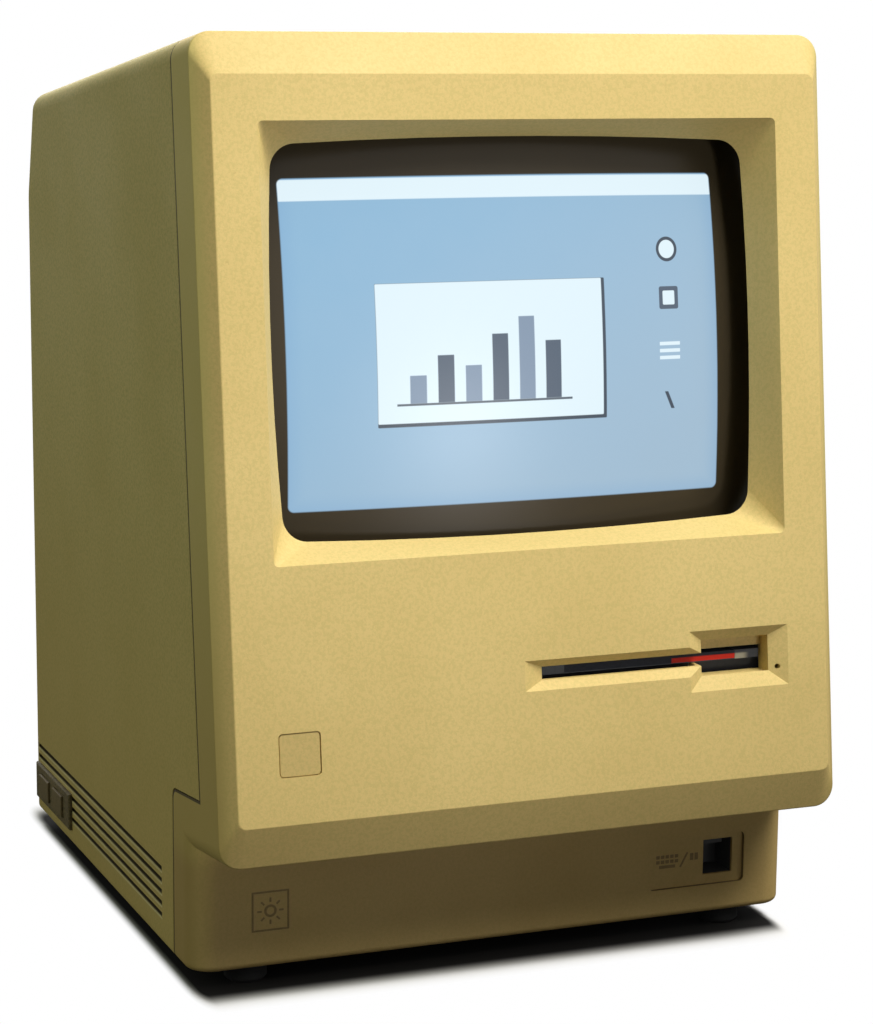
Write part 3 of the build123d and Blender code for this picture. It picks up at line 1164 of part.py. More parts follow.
def deflection_yoke():
    """Wound horn round the cone's throat, clamped on the neck behind it."""
    horn_start = CONE_END - HORN_REACH
    corner = hypot(TUBE_WIDTH / 2 - TUBE_RADIUS, TUBE_HEIGHT / 2 - TUBE_RADIUS) + TUBE_RADIUS
    mouth = THROAT_RADIUS + HORN_REACH * (corner - THROAT_RADIUS) / TUBE_CONE_LENGTH + YOKE_CLEARANCE
    clamp = NECK_RADIUS + YOKE_CLAMP
    return turned([
        (mouth, horn_start), (THROAT_RADIUS + YOKE_CLEARANCE, CONE_END),
        (NECK_RADIUS + YOKE_CLEARANCE, NECK_START),
        (NECK_RADIUS, NECK_START + YOKE_CLEARANCE), (NECK_RADIUS, NECK_START + YOKE_CLAMP_LENGTH),
        (clamp, NECK_START + YOKE_CLAMP_LENGTH), (clamp, NECK_START + 2 * YOKE_CLEARANCE),
        (NECK_RADIUS + YOKE_RIM, NECK_START - 2 * YOKE_CLEARANCE),
        (THROAT_RADIUS + YOKE_THICKNESS, CONE_END + YOKE_THICKNESS / 2),
        (mouth + YOKE_THICKNESS, CONE_END - YOKE_CLEARANCE), (mouth + YOKE_THICKNESS, horn_start),
    ])


def centring_rings():
    """Two magnet rings on the neck, each with a finger tab to another side."""
    rings = []
    radius = NECK_RADIUS + RING_MAGNET_WALL
    for i, angle in enumerate((40, 140)):
        ring = Circle(radius) - Circle(NECK_RADIUS)
        tab = Pos(radius + RING_TAB_LENGTH / 4, 0) * Rectangle(RING_TAB_LENGTH, RING_TAB_WIDTH)
        depth = NECK_START + RING_MAGNET_GAP + i * (RING_MAGNET_THICKNESS + YOKE_CLEARANCE)
        outline = tube_plane(depth) * Rot(0, 0, angle) * (ring + tab)
        rings.append(extrude(outline, amount=-RING_MAGNET_THICKNESS))
    return Compound(children=rings)


def neck_board():
    """Small board on a socket at the end of the neck."""
    seat = NECK_END + NECK_BOARD_GAP
    wall = NECK_RADIUS + NECK_SOCKET_WALL
    front = NECK_END - NECK_SOCKET_REACH
    socket = turned([(0, NECK_END), (NECK_RADIUS, NECK_END), (NECK_RADIUS, front), (wall, front),
                     (wall, seat), (0, seat)])
    outline = rounded(NECK_BOARD_WIDTH, NECK_BOARD_HEIGHT, NECK_BOARD_RADIUS)
    board = extrude(tube_plane(seat) * outline, amount=-BOARD)
    for side in (-1, 1):
        part = Pos(side * NECK_PART_U, -side * NECK_PART_V) * Circle(NECK_PART_RADIUS)
        board += extrude(tube_plane(seat + BOARD) * part, amount=-NECK_PART_HEIGHT)
    return socket + board


def anode_cap():
    """Rubber cap on the top of the cone."""
    back = TUBE_CONE_LENGTH * CAP_SHARE
    drop = (TUBE_HEIGHT / 2 - THROAT_RADIUS) / TUBE_CONE_LENGTH
    seat = leaning(0, SCREEN_V + TUBE_HEIGHT / 2 - drop * back, CONE_START + back)
    frame = tube_plane(0)
    out = (frame.y_dir - frame.z_dir * drop).normalized()
    plane = Plane(seat, x_dir=(1, 0, 0), z_dir=out)
    disc = extrude(plane.offset(CAP_THICKNESS - WALL) * Circle(CAP_RADIUS), amount=WALL)
    dome = extrude(plane * Circle(CAP_DOME_RADIUS), amount=CAP_DOME_HEIGHT)
    return disc + dome - picture_tube()


# ---------------------------------------------------------------- chassis and logic board
def chassis():
    """Folded sheet: a shelf on two sides, with tabs for the front posts and the rear screws."""
    left, right = CHASSIS_LEFT, CHASSIS_RIGHT
    y0, y1 = CHASSIS_FRONT_Y, CHASSIS_REAR_Y
    body = block(left, right, y0, y1, SHELF_Z, SHELF_Z + SHEET)
    for outside, inside in ((left, left + SHEET), (right, right - SHEET)):
        x0, x1 = min(outside, inside), max(outside, inside)
        reach = CHASSIS_LIP if outside == left else -CHASSIS_LIP
        lip = (min(outside, outside + reach), max(outside, outside + reach))
        body += block(x0, x1, y0, y1, BOARD_Z - SHEET, SHELF_Z + SHEET)
        body += block(*lip, y0, y1, BOARD_Z - SHEET, BOARD_Z)
    for x in CHASSIS_POSTS:
        body += block(x - TAB_HALF_WIDTH, x + TAB_HALF_WIDTH, y0, y0 + SHEET, SHELF_Z,
                      CHASSIS_POST_Z + TAB_RISE)
        body -= rod_y(x, CHASSIS_POST_Z, y0 - 1, y0 + 2 * SHEET, PILOT_RADIUS)
    for x in LOWER_SCREWS:
        body += block(x - TAB_HALF_WIDTH, x + TAB_HALF_WIDTH, y1 - SHEET, y1, LOWER_SCREW_Z - TAB_RISE,
                      SHELF_Z + SHEET)
        body -= rod_y(x, LOWER_SCREW_Z, y1 - 2 * SHEET, y1 + 1, PILOT_RADIUS)
    for i in range(VENT_ROWS):
        y = y0 + VENT_MARGIN + i * (y1 - y0 - 2 * VENT_MARGIN) / (VENT_ROWS - 1)
        body -= block(left + VENT_INSET, left + VENT_INSET + VENT_LENGTH, y - VENT_WIDTH / 2,
                      y + VENT_WIDTH / 2, SHELF_Z - 1, SHELF_Z + 2 * SHEET)
    for y in BUTTON_PLACES:
        window = STEM_WIDTH / 2 + STEM_WINDOW
        high = STEM_HEIGHT + STEM_WINDOW
        body -= block(left - 1, left + 2 * SHEET, y - window, y + window, STEM_Z - high, STEM_Z + high)
    return body


def chassis_screws():
    seat = CHASSIS_FRONT_Y + SHEET
    return Compound(children=[straight_screw(x, CHASSIS_POST_Z, seat) for x in CHASSIS_POSTS])


def logic_board():
    return block(BOARD_X0, BOARD_X1, BOARD_FRONT_Y, BOARD_REAR_Y, BOARD_Z, BOARD_TOP)


def on_logic(place):
    """Point (x, y) at a share of the logic board's width and length."""
    width, length = BOARD_X1 - BOARD_X0, BOARD_REAR_Y - BOARD_FRONT_Y
    return BOARD_X0 + place[0] * width, BOARD_FRONT_Y + place[1] * length


def chip(x, y, length, width):
    """Dual in-line package, long along Y, on two rows of legs, with a notch at its front end."""
    low, high = BOARD_TOP + CHIP_RISE, BOARD_TOP + CHIP_RISE + CHIP_HEIGHT
    half, middle, end = width / 2, (low + high) / 2, y - length / 2
    body = block(x - half + CHIP_RISE, x + half - CHIP_RISE, end, y + length / 2, low, high)
    for x0 in (x - half, x + half - CHIP_LEG):
        body += block(x0, x0 + CHIP_LEG, end + 1, y + length / 2 - 1, BOARD_TOP, middle)
    notch = CHIP_NOTCH / 2
    return body - block(x - notch, x + notch, end - 1, end + notch, middle, high + 1)


def processor():
    return chip(*on_logic(PROCESSOR_PLACE), PROCESSOR_LENGTH, PROCESSOR_WIDTH)


def rom_chips():
    x, y = on_logic(ROM_PLACE)
    return Compound(children=[chip(x, y + side * ROM_SPACING / 2, ROM_LENGTH, WIDE_CHIP) for side in (-1, 1)])


def memory_chips():
    """Square field of memory chips."""
    x, y = on_logic(MEMORY_PLACE)
    steps = [i - (MEMORY_COUNT - 1) / 2 for i in range(MEMORY_COUNT)]
    return Compound(children=[
        chip(x + column * MEMORY_COLUMN, y + row * MEMORY_ROW, MEMORY_LENGTH, NARROW_CHIP)
        for row in steps for column in steps
    ])


def support_chips():
    """Sound and disk controllers beside the smaller logic."""
    large = [chip(*on_logic(place), CONTROLLER_LENGTH, WIDE_CHIP) for place in CONTROLLER_PLACES]
    small = [chip(*on_logic(place), LOGIC_LENGTH, NARROW_CHIP) for place in LOGIC_PLACES]
    return Compound(children=[*large, *small])


def push_switches():
    """Two small push switches on the board, in line with the stems of the clip."""
    switches = []
    x = CHASSIS_LEFT + SHEET + PUSH_SWITCH_GAP
    half = PUSH_SWITCH_SIZE / 2
    for y in BUTTON_PLACES:
        body = block(x, x + PUSH_SWITCH_SIZE, y - half, y + half, BOARD_TOP, STEM_Z + PUSH_SWITCH_RISE)
        plunger = rod_x(STEM_END_X + BUTTON_TRAVEL + PLUNGER_GAP, x, y, STEM_Z, PLUNGER_RADIUS)
        switches.append(body + plunger)
    return Compound(children=switches)


def keyboard_jack():
    """Square modular socket behind the chin."""
    half = JACK_HOLE_WIDTH / 2 + JACK_WALL
    front = CHIN_Y + WALL
    body = block(JACK_U - half, JACK_U + half, front, front + JACK_CAVITY_DEPTH + JACK_BACK_WALL, BOARD_TOP,
                 JACK_MID_Z + JACK_HOLE_HEIGHT / 2 + JACK_WALL)
    half = JACK_HOLE_WIDTH / 2
    high = JACK_HOLE_HEIGHT / 2
    body -= block(JACK_U - half, JACK_U + half, front - 1, front + JACK_CAVITY_DEPTH,
                  JACK_MID_Z - high, JACK_MID_Z + high)
    comb = block(JACK_U - JACK_COMB_WIDTH / 2, JACK_U + JACK_COMB_WIDTH / 2, front + JACK_COMB_HEIGHT,
                 front + JACK_CAVITY_DEPTH + 1, JACK_MID_Z + high - JACK_COMB_HEIGHT, JACK_MID_Z + high)
    return body + comb


def port(x, shell):
    """Connector with its flange against the inside of the panel."""
    y = PANEL_INSIDE_Y
    outline = rounded(flange_width(shell), FLANGE_HEIGHT, FLANGE_RADIUS)
    body = extrude(rear_plane(y - FLANGE_THICKNESS, x, PORT_Z) * outline, amount=FLANGE_THICKNESS)
    body += extrude(rear_plane(y - FLANGE_THICKNESS, x, PORT_Z) * d_outline(shell, SHELL_HEIGHT),
                    amount=FLANGE_THICKNESS + SHELL_PROUD)
    half = shell / 2
    body += block(x - half, x + half, y - FLANGE_THICKNESS - PORT_BODY_DEPTH, y - FLANGE_THICKNESS,
                  BOARD_TOP, PORT_Z + SHELL_HEIGHT / 2)
    for nut_x in nut_places(x, shell):
        body -= rod_y(nut_x, PORT_Z, y - 2 * FLANGE_THICKNESS, y + 1, SCREW_RADIUS + SCREW_CLEARANCE)
    return body


def port_posts():
    """Threaded hexagonal posts that hold each connector to the panel."""
    posts = []
    outside = REAR_Y - PANEL_RECESS
    for x, shell in PORTS.values():
        for nut_x in nut_places(x, shell):
            hexagon = rear_plane(outside, nut_x, PORT_Z) * RegularPolygon(NUT_RADIUS, 6)
            posts.append(extrude(hexagon, amount=NUT_HEIGHT)
                         + rod_y(nut_x, PORT_Z, PANEL_INSIDE_Y - 2 * FLANGE_THICKNESS, outside, SCREW_RADIUS))
    return Compound(children=posts)


def audio_jack():
    half = AUDIO_BODY / 2
    y = PANEL_INSIDE_Y
    body = block(AUDIO_X - half, AUDIO_X + half, y - AUDIO_BORE_LENGTH, y, BOARD_TOP, PORT_Z + half)
    nose_end = REAR_Y - PANEL_RECESS + AUDIO_NOSE_PROUD
    body += rod_y(AUDIO_X, PORT_Z, y, nose_end, AUDIO_NOSE_RADIUS)
    return body - rod_y(AUDIO_X, PORT_Z, nose_end - AUDIO_BORE_LENGTH, nose_end, AUDIO_BORE_RADIUS)


# ---------------------------------------------------------------- analog side
def analog_bracket():
    """Upright sheet with a foot that is folded against the chassis and four standoffs."""
    plate_end = BRACKET_X + SHEET
    foot_z = ANALOG_Z0 - BRACKET_DROP
    y0, y1 = ANALOG_Y0, ANALOG_Y1
    bracket = block(BRACKET_X, plate_end, y0, y1, foot_z, ANALOG_Z1)
    bracket += block(BRACKET_X, CHASSIS_LEFT, y0, y1, foot_z, foot_z + SHEET)
    bracket += block(CHASSIS_LEFT - SHEET, CHASSIS_LEFT, y0, y1, foot_z - BRACKET_FOLD, foot_z + SHEET)
    for y in (y0 + STANDOFF_INSET, y1 - STANDOFF_INSET):
        for z in (ANALOG_Z0 + STANDOFF_INSET, ANALOG_Z1 - STANDOFF_INSET):
            bracket += rod_x(plate_end, ANALOG_X, y, z, STANDOFF_RADIUS)
    return bracket


def analog_board():
    return block(ANALOG_X, ANALOG_TOP, ANALOG_Y0, ANALOG_Y1, ANALOG_Z0, ANALOG_Z1)


def on_analog(place):
    """Point (y, z) at a share of the analog board's length and height."""
    return ANALOG_Y0 + place[0] * (ANALOG_Y1 - ANALOG_Y0), ANALOG_Z0 + place[1] * (ANALOG_Z1 - ANALOG_Z0)


def flyback_transformer():
    """Square core with a round winding and a high-voltage collar."""
    x, (y, z) = ANALOG_TOP, on_analog(FLYBACK_PLACE)
    half, bar, top = FLYBACK_CORE_LENGTH / 2, FLYBACK_CORE_BAR, z + FLYBACK_CORE_HEIGHT
    core = block(x, x + FLYBACK_CORE_WIDTH, y - half, y + half, z, top)
    core -= block(x + bar, x + FLYBACK_CORE_WIDTH - bar, y - half - 1, y + half + 1, z + bar, top - bar)
    centre = x + FLYBACK_WINDING_X
    winding = rod_z(centre, y, z + bar / 4, top - bar / 4, FLYBACK_WINDING_RADIUS)
    collar = rod_z(centre, y, top - bar / 4, top + FLYBACK_COLLAR_HEIGHT - bar / 4, FLYBACK_COLLAR_RADIUS)
    return core + winding + collar


def filter_capacitors():
    """Upright cans of three sizes, their ends on the board."""
    cans = []
    for places, radius, height in ((LARGE_CAN_PLACES, LARGE_CAN_RADIUS, LARGE_CAN_HEIGHT),
                                   (MEDIUM_CAN_PLACES, MEDIUM_CAN_RADIUS, MEDIUM_CAN_HEIGHT),
                                   (SMALL_CAN_PLACES, SMALL_CAN_RADIUS, SMALL_CAN_HEIGHT)):
        for place in places:
            y, z = on_analog(place)
            cans.append(rod_x(ANALOG_TOP, ANALOG_TOP + height, y, z, radius))
    return Compound(children=cans)


def heat_sink():
    """Finned plate, the fins standing away from the board."""
    x, (y, z) = ANALOG_TOP, on_analog(HEAT_SINK_PLACE)
    top = z + HEAT_SINK_HEIGHT
    sink = block(x, x + HEAT_SINK_BASE, y, y + HEAT_SINK_LENGTH, z, top)
    for i in range(HEAT_SINK_FINS):
        fin = y + i * (HEAT_SINK_LENGTH - FIN_THICKNESS) / (HEAT_SINK_FINS - 1)
        sink += block(x, x + HEAT_SINK_DEPTH, fin, fin + FIN_THICKNESS, z, top)
    return sink


def speaker():
    """Round loudspeaker, its rim on the board and its magnet away from it."""
    r, rim, neck = SPEAKER_RADIUS, SPEAKER_RIM, SPEAKER_MAGNET_RADIUS
    outline = make_face(Polyline(
        (0, 0), (r, 0), (r, SPEAKER_RIM_HEIGHT), (r - rim, SPEAKER_RIM_HEIGHT), (neck, SPEAKER_CONE_HEIGHT),
        (neck, SPEAKER_MAGNET_HEIGHT), (0, SPEAKER_MAGNET_HEIGHT), close=True))
    y, z = on_analog(SPEAKER_PLACE)
    return Pos(ANALOG_TOP, y, z) * revolve(Plane.XZ * outline, Axis.Z).rotate(Axis.Y, 90)


# ---------------------------------------------------------------- mains inlet and switch
def power_inlet():
    """Three-pole inlet whose rim lies on the rear wall."""
    y = REAR_Y
    body = extrude(rear_plane(y - INLET_DEPTH, MAINS_X, INLET_Z) * Rectangle(INLET_WIDTH, INLET_HEIGHT),
                   amount=INLET_DEPTH)
    rim = rounded(INLET_WIDTH + 2 * INLET_RIM, INLET_HEIGHT + 2 * INLET_RIM, INLET_RIM)
    body += extrude(rear_plane(y, MAINS_X, INLET_Z) * rim, amount=INLET_RIM_THICKNESS)
    w, h = INLET_WIDTH / 2 - INLET_WALL, INLET_HEIGHT / 2 - INLET_WALL
    cut = INLET_HEIGHT / 4
    cavity = make_face(Polyline((-w, -h), (w, -h), (w, h - cut), (w - cut, h), (-w + cut, h), (-w, h - cut),
                                close=True))
    back = rear_plane(y - INLET_DEPTH + 3 * INLET_WALL, MAINS_X, INLET_Z)
    body -= extrude(back * cavity, amount=INLET_DEPTH)
    return body - pin_blades()


def pin_blades():
    """Earth pin in the middle and higher, the two live pins beside it."""
    y0 = REAR_Y - INLET_DEPTH - PIN_TAIL
    y1 = REAR_Y - INLET_DEPTH + 3 * INLET_WALL + PIN_PROUD
    blades = []
    for x, z in ((-PIN_SPACING, -LIVE_DROP), (0, EARTH_RISE), (PIN_SPACING, -LIVE_DROP)):
        blades.append(block(MAINS_X + x - PIN_THICKNESS / 2, MAINS_X + x + PIN_THICKNESS / 2, y0, y1,
                            INLET_Z + z - PIN_WIDTH / 2, INLET_Z + z + PIN_WIDTH / 2))
    return Compound(children=blades)


def rocker_axis():
    """Pivot of the rocker as (y, z)."""
    return REAR_Y - ROCKER_PIVOT_DEPTH, SWITCH_Z


def switch_body():
    y = REAR_Y
    width, height = SWITCH_WIDTH + 2 * SWITCH_WALL, SWITCH_HEIGHT + 2 * SWITCH_WALL
    plane = rear_plane(y - SWITCH_DEPTH, MAINS_X, SWITCH_Z)
    body = extrude(plane * Rectangle(width, height), amount=SWITCH_DEPTH)
    rim = rounded(width + 2 * SWITCH_RIM, height + 2 * SWITCH_RIM, SWITCH_RIM)
    body += extrude(rear_plane(y, MAINS_X, SWITCH_Z) * rim, amount=SWITCH_RIM_THICKNESS)
    body -= block(MAINS_X - SWITCH_WIDTH / 2, MAINS_X + SWITCH_WIDTH / 2, y - SWITCH_DEPTH + SWITCH_WALL,
                  y + WALL, SWITCH_Z - SWITCH_HEIGHT / 2, SWITCH_Z + SWITCH_HEIGHT / 2)
    pivot_y, pivot_z = rocker_axis()
    bore = ROCKER_PIN_RADIUS + PIVOT_CLEARANCE
    body -= rod_x(MAINS_X - width / 2, MAINS_X + width / 2, pivot_y, pivot_z, bore)
    thick, high = SWITCH_BLADE_THICKNESS / 2, SWITCH_BLADE_WIDTH / 2
    for x in (MAINS_X - SWITCH_BLADE_X, MAINS_X + SWITCH_BLADE_X):
        body += block(x - thick, x + thick, y - SWITCH_DEPTH - SWITCH_BLADE_LENGTH, y - SWITCH_DEPTH,
                      SWITCH_Z - high, SWITCH_Z + high)
    return body


def switch_rocker():
    """V-shaped rocker on a pin, at rest tipped to the on side."""
    pivot_y, pivot_z = rocker_axis()
    reach = SWITCH_HEIGHT / 2 - ROCKER_CLEARANCE
    tip_y = ROCKER_PIVOT_DEPTH + ROCKER_PROUD
    tip_z = (reach ** 2 - tip_y ** 2) ** 0.5
    back_z = (reach ** 2 - ROCKER_BACK ** 2) ** 0.5
    edge_y = tip_y - ROCKER_EDGE
    edge_z = (reach ** 2 - edge_y ** 2) ** 0.5
    outline = [(-ROCKER_BACK, -back_z), (-ROCKER_BACK, back_z), (edge_y, edge_z), (tip_y, tip_z),
               (tip_y - ROCKER_DISH, 0), (tip_y, -tip_z), (edge_y, -edge_z)]
    half = SWITCH_WIDTH / 2 - ROCKER_CLEARANCE
    rocker = side_prism(outline, -half, half)
    rocker += rod_x(-SWITCH_WIDTH / 2 - SWITCH_WALL, SWITCH_WIDTH / 2 + SWITCH_WALL, 0, 0, ROCKER_PIN_RADIUS)
    return Pos(MAINS_X, pivot_y, pivot_z) * rocker.rotate(Axis.X, ROCKER_ANGLE / 2)


# ---------------------------------------------------------------- brightness control, reset clip
def brightness_wheel():
    """Thumb wheel with a fine rim, on a spindle of its own."""
    disc = Cylinder(WHEEL_RADIUS - WHEEL_TOOTH_DEPTH, WHEEL_WIDTH)
    tooth = Box(2 * WHEEL_TOOTH_DEPTH, WHEEL_TOOTH_WIDTH, WHEEL_WIDTH)
    tooth = Pos(WHEEL_RADIUS - WHEEL_TOOTH_DEPTH, 0, 0) * tooth
    for i in range(WHEEL_TEETH):
        disc += Rot(0, 0, i * 360 / WHEEL_TEETH) * tooth
    disc = Pos(WHEEL_X, WHEEL_Y, WHEEL_Z) * Rot(0, 90, 0) * disc
    spindle_end = POT_X + POT_THICKNESS - POT_BACK - BAY_CLEARANCE
    return disc + rod_x(WHEEL_X, spindle_end, WHEEL_Y, WHEEL_Z, SPINDLE_RADIUS)


def brightness_pot():
    body = block(POT_X, POT_X + POT_THICKNESS, WHEEL_Y - POT_SIZE / 2, WHEEL_Y + POT_SIZE / 2,
                 WHEEL_Z - POT_DROP, WHEEL_Z - POT_DROP + POT_SIZE)
    bore_end = POT_X + POT_THICKNESS - POT_BACK
    return body - rod_x(POT_X - 1, bore_end, WHEEL_Y, WHEEL_Z, SPINDLE_RADIUS + PIVOT_CLEARANCE)


def switch_clip():
    """Cover plate with two windows, hooked into the side slots."""
    outside = -WIDTH / 2 - CLIP_PROUD
    wall = -WIDTH / 2
    clip = block(outside, wall, CLIP_FRONT_Y, CLIP_REAR_Y, CLIP_BOTTOM_Z, CLIP_TOP_Z)
    clip = fillet(clip.edges().filter_by(lambda e: e.center().X < outside + 0.01), CLIP_PROUD / 2)
    for y in BUTTON_PLACES:
        half = BUTTON_LENGTH / 2 + BUTTON_CLEARANCE
        high = BUTTON_HEIGHT / 2 + BUTTON_CLEARANCE
        clip -= block(outside - 1, wall + 1, y - half, y + half, BUTTON_Z - high, BUTTON_Z + high)
    hook_end = wall + WALL + CLIP_INSIDE
    for i in (STEM_SLOT - 1, STEM_SLOT + 1):
        z = SIDE_SLOT_TOP_Z - i * SIDE_SLOT_PITCH
        thick = SIDE_SLOT_HEIGHT / 2 - CLIP_FIT
        for y in (CLIP_FRONT_Y + CLIP_END, CLIP_REAR_Y - CLIP_HOOK_LENGTH - CLIP_END):
            clip += block(wall - CLIP_PROUD / 2, hook_end, y, y + CLIP_HOOK_LENGTH, z - thick, z + thick)
            clip += block(wall + WALL, hook_end, y, y + CLIP_HOOK_LENGTH, z - thick - CLIP_HOOK_DROP, z)
    return clip


def side_button(y):
    """Push button whose stem runs through a side slot towards the board."""
    outside = -WIDTH / 2 - CLIP_PROUD - BUTTON_PROUD
    back = -WIDTH / 2 - BUTTON_TRAVEL - BUTTON_CLEARANCE
    half = BUTTON_LENGTH / 2
    high = BUTTON_HEIGHT / 2
    cap = block(outside, back, y - half, y + half, BUTTON_Z - high, BUTTON_Z + high)
    cap = fillet(cap.edges().filter_by(lambda e: e.center().X < outside + 0.01), BUTTON_ROUND)
    stem = block(back - BUTTON_ROUND, STEM_END_X, y - STEM_WIDTH / 2, y + STEM_WIDTH / 2,
                 STEM_Z - STEM_HEIGHT / 2, STEM_Z + STEM_HEIGHT / 2)
    return cap + stem


# ---------------------------------------------------------------- diskette drive
def drive_bracket():
    """Folded sheet that carries the drive over the shelf."""
    z0 = SHELF_Z + SHEET
    y0, y1 = DRIVE_FRONT_Y + DRIVE_BRACKET_FRONT, DRIVE_REAR_Y - DRIVE_BRACKET_REAR
    half = DRIVE_HALF_WIDTH
    bracket = block(DRIVE_CENTRE - half - SHEET, DRIVE_CENTRE + half + SHEET, y0, y1, z0, z0 + SHEET)
    for side in (-1, 1):
        x0, x1 = sorted(DRIVE_CENTRE + side * reach for reach in (half, half + SHEET))
        bracket += block(x0, x1, y0, y1, z0, DRIVE_TOP - DRIVE_BRACKET_DROP)
        x0, x1 = sorted(DRIVE_CENTRE + side * reach for reach in (half - 2 * LEDGE, half))
        bracket += block(x0, x1, y0, y1, DRIVE_BOTTOM - SHEET, DRIVE_BOTTOM)
    return bracket


def drive_frame():
    """Cast tray with ledges for the diskette, bearings and a cross rib for the rods."""
    x, half = DRIVE_CENTRE, DRIVE_HALF_WIDTH
    lane = DISK_WIDTH / 2 + LANE_CLEARANCE
    window = FRAME_WINDOW_WIDTH / 2
    frame = block(x - half, x + half, DRIVE_FRONT_Y, DRIVE_REAR_Y, DRIVE_BOTTOM, DRIVE_TOP)
    frame -= block(x - lane + LEDGE, x + lane - LEDGE, DRIVE_FRONT_Y + DRIVE_WALL, DRIVE_REAR_Y - DRIVE_WALL,
                   DRIVE_BOTTOM + DRIVE_WALL, DRIVE_TOP + 1)
    frame -= block(x - lane, x + lane, DRIVE_FRONT_Y - 1, DISK_REAR_Y + LANE_END,
                   DISK_BOTTOM - LANE_CLEARANCE, DRIVE_TOP + 1)
    frame += block(x - lane + LEDGE, x + lane - LEDGE, RIB_Y, RIB_Y + RIB_THICKNESS, DRIVE_BOTTOM,
                   ROD_Z + RIB_RISE)
    frame += rod_z(x, HUB_Y, DRIVE_BOTTOM, DRIVE_BOTTOM + BEARING_HEIGHT, BEARING_RADIUS)
    frame -= rod_z(x, HUB_Y, DRIVE_BOTTOM - 1, DRIVE_TOP, SHAFT_RADIUS + RUNNING_FIT)
    for side in (-1, 1):
        frame -= rod_y(x + side * ROD_SPACING, ROD_Z, RIB_Y - 1, DRIVE_REAR_Y + 1, ROD_RADIUS)
    frame -= rod_y(x + LEAD_X, ROD_Z, RIB_Y - 1, DRIVE_REAR_Y + 1, LEAD_RADIUS + RUNNING_FIT)
    frame -= block(x - window, x + window, DRIVE_FRONT_Y + FRAME_WINDOW_FRONT,
                   DRIVE_REAR_Y - FRAME_WINDOW_REAR, DRIVE_BOTTOM - 1, DRIVE_BOTTOM + DRIVE_WALL + 1)
    return frame


def drive_cover():
    """Sheet lid with a window over the heads."""
    x, half = DRIVE_CENTRE, DRIVE_HALF_WIDTH
    cover = block(x - half, x + half, DRIVE_FRONT_Y, DRIVE_REAR_Y, DRIVE_TOP, DRIVE_TOP + SHEET)
    cover -= block(x - COVER_WINDOW_WIDTH / 2, x + COVER_WINDOW_WIDTH / 2, HEAD_Y - 2 * HEAD_MARGIN,
                   DRIVE_REAR_Y - FRAME_WINDOW_REAR, DRIVE_TOP - 1, DRIVE_TOP + 2 * SHEET)
    y0 = DRIVE_FRONT_Y + COVER_HOLE_FRONT
    for middle in (x - COVER_HOLE_X, x + COVER_HOLE_X):
        cover -= block(middle - COVER_HOLE_WIDTH / 2, middle + COVER_HOLE_WIDTH / 2, y0,
                       y0 + COVER_HOLE_LENGTH, DRIVE_TOP - 1, DRIVE_TOP + 2 * SHEET)
    return cover


def spindle():
    """Hub that carries the diskette's metal centre, on its shaft."""
    hub_top = DISK_BOTTOM - SPINDLE_GAP
    hub = rod_z(DRIVE_CENTRE, HUB_Y, hub_top - SPINDLE_HUB_HEIGHT, hub_top, HUB_RADIUS)
    shaft = rod_z(DRIVE_CENTRE, HUB_Y, DRIVE_BOTTOM - SHAFT_REACH, hub_top - SPINDLE_HUB_HEIGHT, SHAFT_RADIUS)
    pin_x = DRIVE_CENTRE + DRIVE_PIN_X
    return hub + shaft + rod_z(pin_x, HUB_Y, hub_top, hub_top + DRIVE_PIN_HEIGHT, DRIVE_PIN_RADIUS)


def spindle_motor():
    """Flat motor under the frame."""
    body = rod_z(DRIVE_CENTRE, HUB_Y, DRIVE_BOTTOM - MOTOR_HEIGHT, DRIVE_BOTTOM, MOTOR_RADIUS)
    bore_end = DRIVE_BOTTOM - (MOTOR_HEIGHT + SHAFT_REACH) / 2
    return body - rod_z(DRIVE_CENTRE, HUB_Y, bore_end, DRIVE_BOTTOM + 1, SHAFT_RADIUS + RUNNING_FIT)


def head_carriage():
    """Block on two rods, with an arm below and an arm above the diskette."""
    x, half = DRIVE_CENTRE, ARM_HALF_WIDTH
    y0, y1 = CARRIAGE_FRONT_Y, CARRIAGE_FRONT_Y + CARRIAGE_LENGTH
    tip = HEAD_Y - HEAD_MARGIN
    top = DISK_BOTTOM - CARRIAGE_GAP
    body = block(x + LEAD_X - CARRIAGE_MARGIN, x + ROD_SPACING + CARRIAGE_MARGIN, y0, y1,
                 ROD_Z - CARRIAGE_DROP, top)
    body += block(x - half, x + half, tip, y0, top - ARM_THICKNESS, top)
    body += rod_z(x, HEAD_Y, top, DISK_BOTTOM - HEAD_GAP, HEAD_PAD_RADIUS)
    upper = DISK_TOP + ARM_GAP
    body += block(x - half, x + half, y1 - half, y1, top, upper + ARM_THICKNESS)
    body += block(x - half, x + half, tip, y1, upper, upper + ARM_THICKNESS)
    body += rod_z(x, HEAD_Y, DISK_TOP + HEAD_GAP, upper, HEAD_PAD_RADIUS)
    for side in (-1, 1):
        body -= rod_y(x + side * ROD_SPACING, ROD_Z, y0 - 1, y1 + 1, ROD_RADIUS + RUNNING_FIT)
    return body - rod_y(x + LEAD_X, ROD_Z, y0 - 1, y1 + 1, LEAD_RADIUS + RUNNING_FIT)


def guide_rods():
    return Compound(children=[
        rod_y(DRIVE_CENTRE + side * ROD_SPACING, ROD_Z, RIB_Y, DRIVE_REAR_Y, ROD_RADIUS) for side in (-1, 1)
    ])


def lead_screw():
    """Screw from the cross rib into the stepper motor, with a collar behind the rib."""
    x = DRIVE_CENTRE + LEAD_X
    collar_y = RIB_Y + RIB_THICKNESS + COLLAR_GAP
    return (rod_y(x, ROD_Z, RIB_Y, DRIVE_REAR_Y + STEPPER_LENGTH / 2, LEAD_RADIUS)
            + rod_y(x, ROD_Z, collar_y, collar_y + COLLAR_LENGTH, COLLAR_RADIUS))


